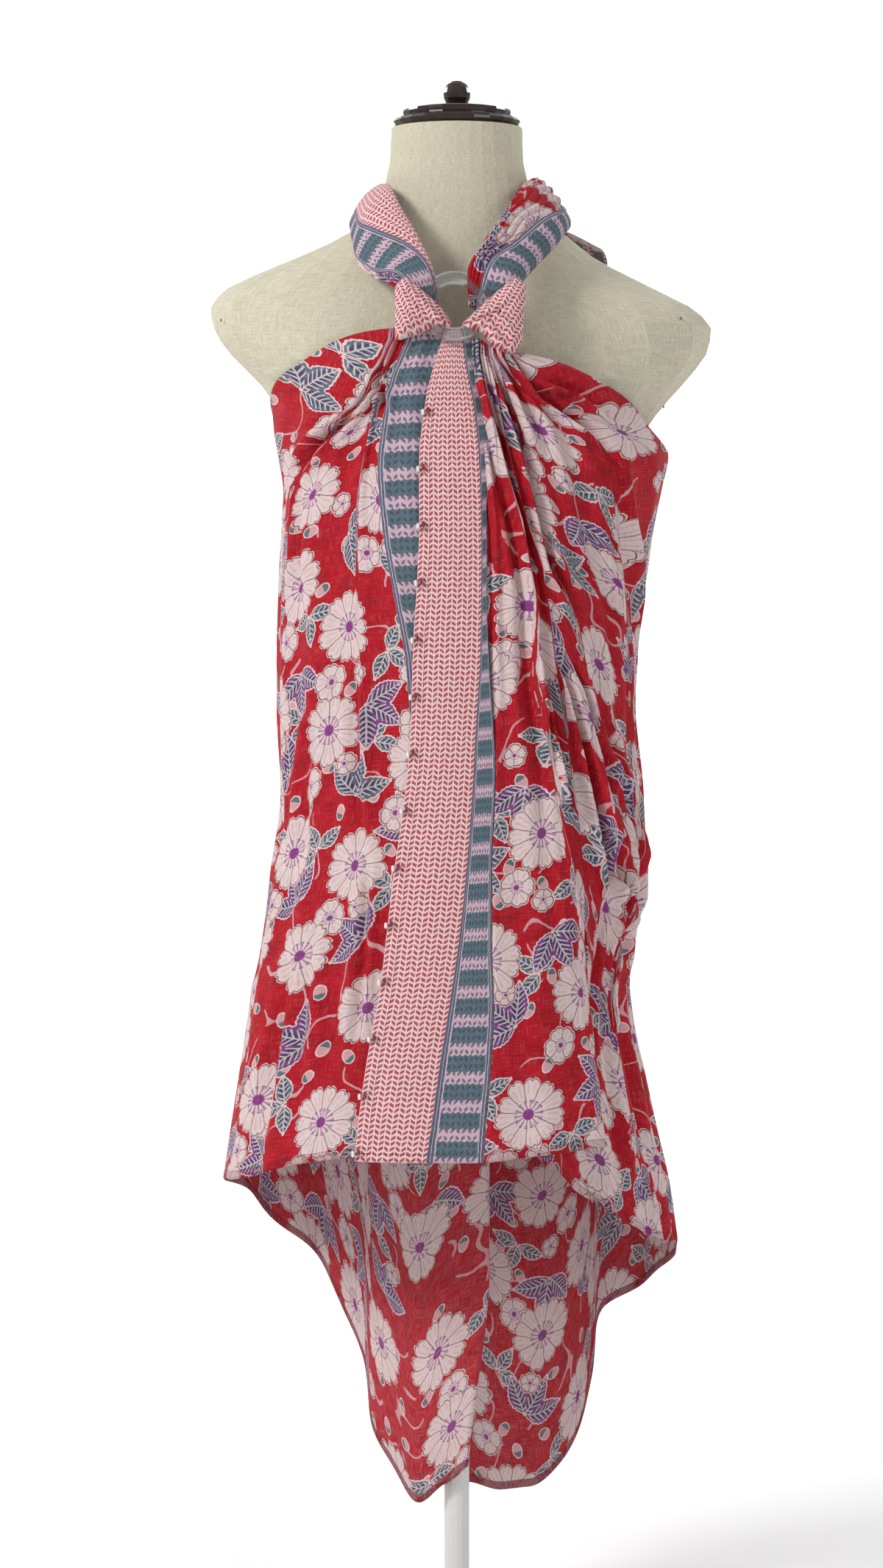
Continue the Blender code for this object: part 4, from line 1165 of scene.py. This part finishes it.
def gatheredAcross(grid, folds, hemAcross, foldFirst=(), crowd=0.2):
    # across the flat cloth, with the width that the gathers hide laid in the fold lines
    legs = np.linalg.norm(np.diff(grid, axis=1), axis=-1) * mm
    across = np.empty(grid.shape[:2])
    for number, (first, last) in enumerate(zip(folds, folds[1:])):
        share = np.linspace(0, 1, last - first + 1)
        seen = np.cumsum(legs[:, first:last], 1)
        seen = np.concatenate([np.zeros((len(grid), 1)), seen], 1)
        width = hemAcross[last] - hemAcross[first]
        hidden = np.maximum(abs(width) - seen[:, -1:], 0.0)
        scale = (abs(width) - hidden) / np.maximum(seen[:, -1:], 1e-6)
        jump = ease(0.0, crowd, share) if number in foldFirst else ease(1 - crowd, 1.0, share)
        across[:, first:last + 1] = (hemAcross[first]
                                     + np.sign(width) * (seen * scale + hidden * jump))
    return across


def flatPlaces(grid, across):
    rise = arcAlong(grid[::-1], 0)[::-1] * mm
    return np.stack([np.broadcast_to(across, rise.shape), rise], -1)


printedCotton = clothMaterial("printed cotton", 0.0, 0.3)
cottonInside = clothMaterial("printed cotton inside", 0.16, 0.8)
print("cotton printed")

rightFolds = range(0, rightGrid.shape[1], rightFront["steps"])
leftFolds = range(0, leftGrid.shape[1], leftSteps)
backFolds = (0, backPanel["foldStation"] * backPanel["steps"], backGrid.shape[1] - 1)
rightFlat = flatPlaces(rightPlain, gatheredAcross(rightPlain, rightFolds, rightAcross, (), 0.09))
leftFlat = flatPlaces(leftPlain, gatheredAcross(leftPlain, leftFolds, leftAcross, (0,), 0.09))
backFlat = flatPlaces(backGrid, gatheredAcross(backGrid, backFolds, backAcross[::-1], (1,), 0.04))
stripAcross = np.interp(stripPlace, (0, 1, 2), (0, borderStrip["pinkWidth"], border))
stripFlat = flatPlaces(stripGrid, stripAcross)
for name, node, grid, flat, size, rests in (
    ("right_front_cloth", "right_front_panel", rightGrid, rightFlat, (0.24, 0.61), "form_torso"),
    ("left_front_cloth", "left_front_panel", leftGrid, leftFlat, (0.19, 0.61), "form_torso"),
    ("back_cloth", "back_panel", backGrid, backFlat, (0.56, 0.72), "form_torso"),
    ("border_strip_cloth", "front_border_strip", stripGrid, stripFlat, (0.08, 0.61),
     "left_front_cloth"),
):
    addCloth(name, node, grid, flat)
print("cut across at the hem:", rightAcross[-1], backAcross[-1], cutAcross)
print("panels hung")

for name, strand in strands.items():
    grid, flat = strandPoints(strand, 90 if "halter" in name else 45)
    wide = float(arcAlong(grid, 1)[:, -1].mean()) * mm
    tall = float(arcAlong(grid, 0)[-1].mean()) * mm
    piece = addCloth(name, name.replace("_cloth", ""), grid, flat)

for name, knot in knots.items():
    slot = "printed_cotton" if "nape" in name else "border_cotton"
    addCloth(name, name.replace("_cloth", ""), *knotPoints(knot), slot)
print("halter tied")


# Seed beads sewn along the strip's edge in pairs, a white one and a dark red one

beads = {"top": 963, "bottom": 404, "spacing": 42.5, "ring": 1.35, "wall": 1.1, "long": 1.1,
         "inset": 1.6, "apart": 3.8, "stagger": 0.7, "proud": 5.8, "around": 14, "section": 9}


def beadMaterial(name, light, dark):
    return cloudedMaterial(name, light, dark, 900.0, {"Roughness": 0.12, "Coat Weight": 0.6})


def addBeads(name, side, finish):
    edge = tableCurves(borderStrip["columns"], borderStrip["sections"])["bead_edge"]
    shape = bmesh.new()
    count = int((beads["top"] - beads["bottom"]) / beads["spacing"]) + 1
    for number in range(count):
        height = beads["top"] - number * beads["spacing"]
        x = float(edge(height)) + beads["inset"] + side * beads["apart"] * 0.5
        height = height + side * beads["stagger"]
        middle = polarPoint(angleAt(x, height), np.asarray(height, float), beads["proud"])
        rings = []
        for a in np.linspace(0, math.tau, beads["around"], endpoint=False):
            ring = []
            for b in np.linspace(0, math.tau, beads["section"], endpoint=False):
                reach = beads["ring"] + beads["wall"] * math.cos(b)
                ring.append(shape.verts.new(
                    [c * mm for c in (middle[0] + beads["wall"] * beads["long"] * math.sin(b),
                                      middle[1] + reach * math.cos(a),
                                      middle[2] + reach * math.sin(a))]))
            rings.append(ring)
        for i, ring in enumerate(rings):
            after = rings[(i + 1) % len(rings)]
            for j in range(len(ring)):
                k = (j + 1) % len(ring)
                shape.faces.new((ring[j], ring[k], after[k], after[j]))
    bmesh.ops.recalc_face_normals(shape, faces=shape.faces)
    made = addShape(name, shape, finish)
    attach(made, "root")


addBeads("edge_beads_white", -1, beadMaterial("white seed bead", dye(250, 247, 242),
                                              dye(232, 226, 218)))
addBeads("edge_beads_red", 1, beadMaterial("dark red seed bead", dye(146, 16, 40),
                                           dye(104, 10, 28)))
print("beads sewn on")


# Small nail heads hold the form's cover at the shoulders

nails = {"places": ((-182, 1040), (172, 1040), (166, 975)), "radius": 1.5, "rise": 0.7}


def nailMaterial():
    return cloudedMaterial("dull nail head", dye(150, 142, 122), dye(104, 96, 80), 800.0,
                           {"Roughness": 0.4, "Metallic": 0.7})


def addNails():
    shape = bmesh.new()
    for x, z in nails["places"]:
        turn = angleAt(x, z, formRadius)
        reach = float(formRadius(turn, z)) + 0.2
        normal = Vector((math.sin(turn), -math.cos(turn), 0.0))
        made = bmesh.ops.create_uvsphere(shape, u_segments=12, v_segments=8, radius=1.0)
        lean = normal.to_track_quat("Z", "Y")
        for vert in made["verts"]:
            flat = vert.co * nails["radius"]
            flat.z = vert.co.z * nails["rise"]
            vert.co = (lean @ flat + normal * reach + Vector((0, 0, z))) * mm
    made = addShape("nail_heads", shape, nailMaterial())
    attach(made, "root")


addNails()
print("nail heads set")


for node, finish in (("form_torso", linenMaterial()), ("neck_cap", woodMaterial()),
                     ("cap_finial", woodMaterial()), ("stand_pole", paintMaterial()),
                     ("stand_base", paintMaterial()), ("ring", clearMaterial())):
    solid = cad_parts[node]
    solid.data.materials.clear()
    solid.data.materials.append(finish)
print("form and stand finished")


# Studio: a pale floor that curves up behind, broad soft lights, and lamps on the backdrop

studio = {
    "floor": 6.6, "bend": 1.6, "sky": 0.37, "aim": (0.0, 0.0, 0.75),
    "key": {"place": (-2.6, -2.2, 2.7), "size": 1.0, "power": 86},
    "fill": {"place": (2.4, -2.6, 1.7), "size": 1.6, "power": 17},
    "backLamps": (
        {"place": (-2.4, 1.6, 3.2), "size": 1.5, "power": 60, "aim": (0.0, 3.6, 1.2)},
        {"place": (2.4, 1.6, 3.2), "size": 1.5, "power": 60, "aim": (0.0, 3.6, 1.2)},
        {"place": (-3.2, 5.4, 3.4), "size": 1.5, "power": 150, "aim": (0.0, 8.2, 1.2)},
        {"place": (3.2, 5.4, 3.4), "size": 1.5, "power": 150, "aim": (0.0, 8.2, 1.2)},
    ),
}


def addSoftbox(name, box, target):
    data = bpy.data.lights.new(name, "AREA")
    data.size = box["size"]
    data.energy = box["power"]
    addAimed(name, data, box["place"], target)


def addStudio():
    shape = bmesh.new()
    floor, bend = studio["floor"], studio["bend"]
    profile = [(-floor, 0)] + [(floor + bend * math.sin(a), bend - bend * math.cos(a))
                               for a in np.radians(np.arange(0, 91, 6))] + [(floor + bend, floor)]
    rows = [[shape.verts.new((x, y, z)) for x in (-floor, floor)] for y, z in profile]
    for near, far in zip(rows, rows[1:]):
        shape.faces.new((near[0], near[1], far[1], far[0]))
    backdrop = addShape("backdrop", shape, backdropMaterial())
    world = bpy.data.worlds.new("studio")
    bpy.context.scene.world = world
    world.use_nodes = True
    sky = world.node_tree.nodes["Background"]
    sky.inputs["Color"].default_value = (1, 1, 1, 1)
    sky.inputs["Strength"].default_value = studio["sky"]
    addSoftbox("key_softbox", studio["key"], studio["aim"])
    addSoftbox("fill_softbox", studio["fill"], studio["aim"])
    for i, lamp in enumerate(studio["backLamps"]):
        addSoftbox("backdrop_lamp_%d" % i, lamp, lamp["aim"])
    bpy.context.scene.view_settings.view_transform = "Standard"


addStudio()
print("studio lit")
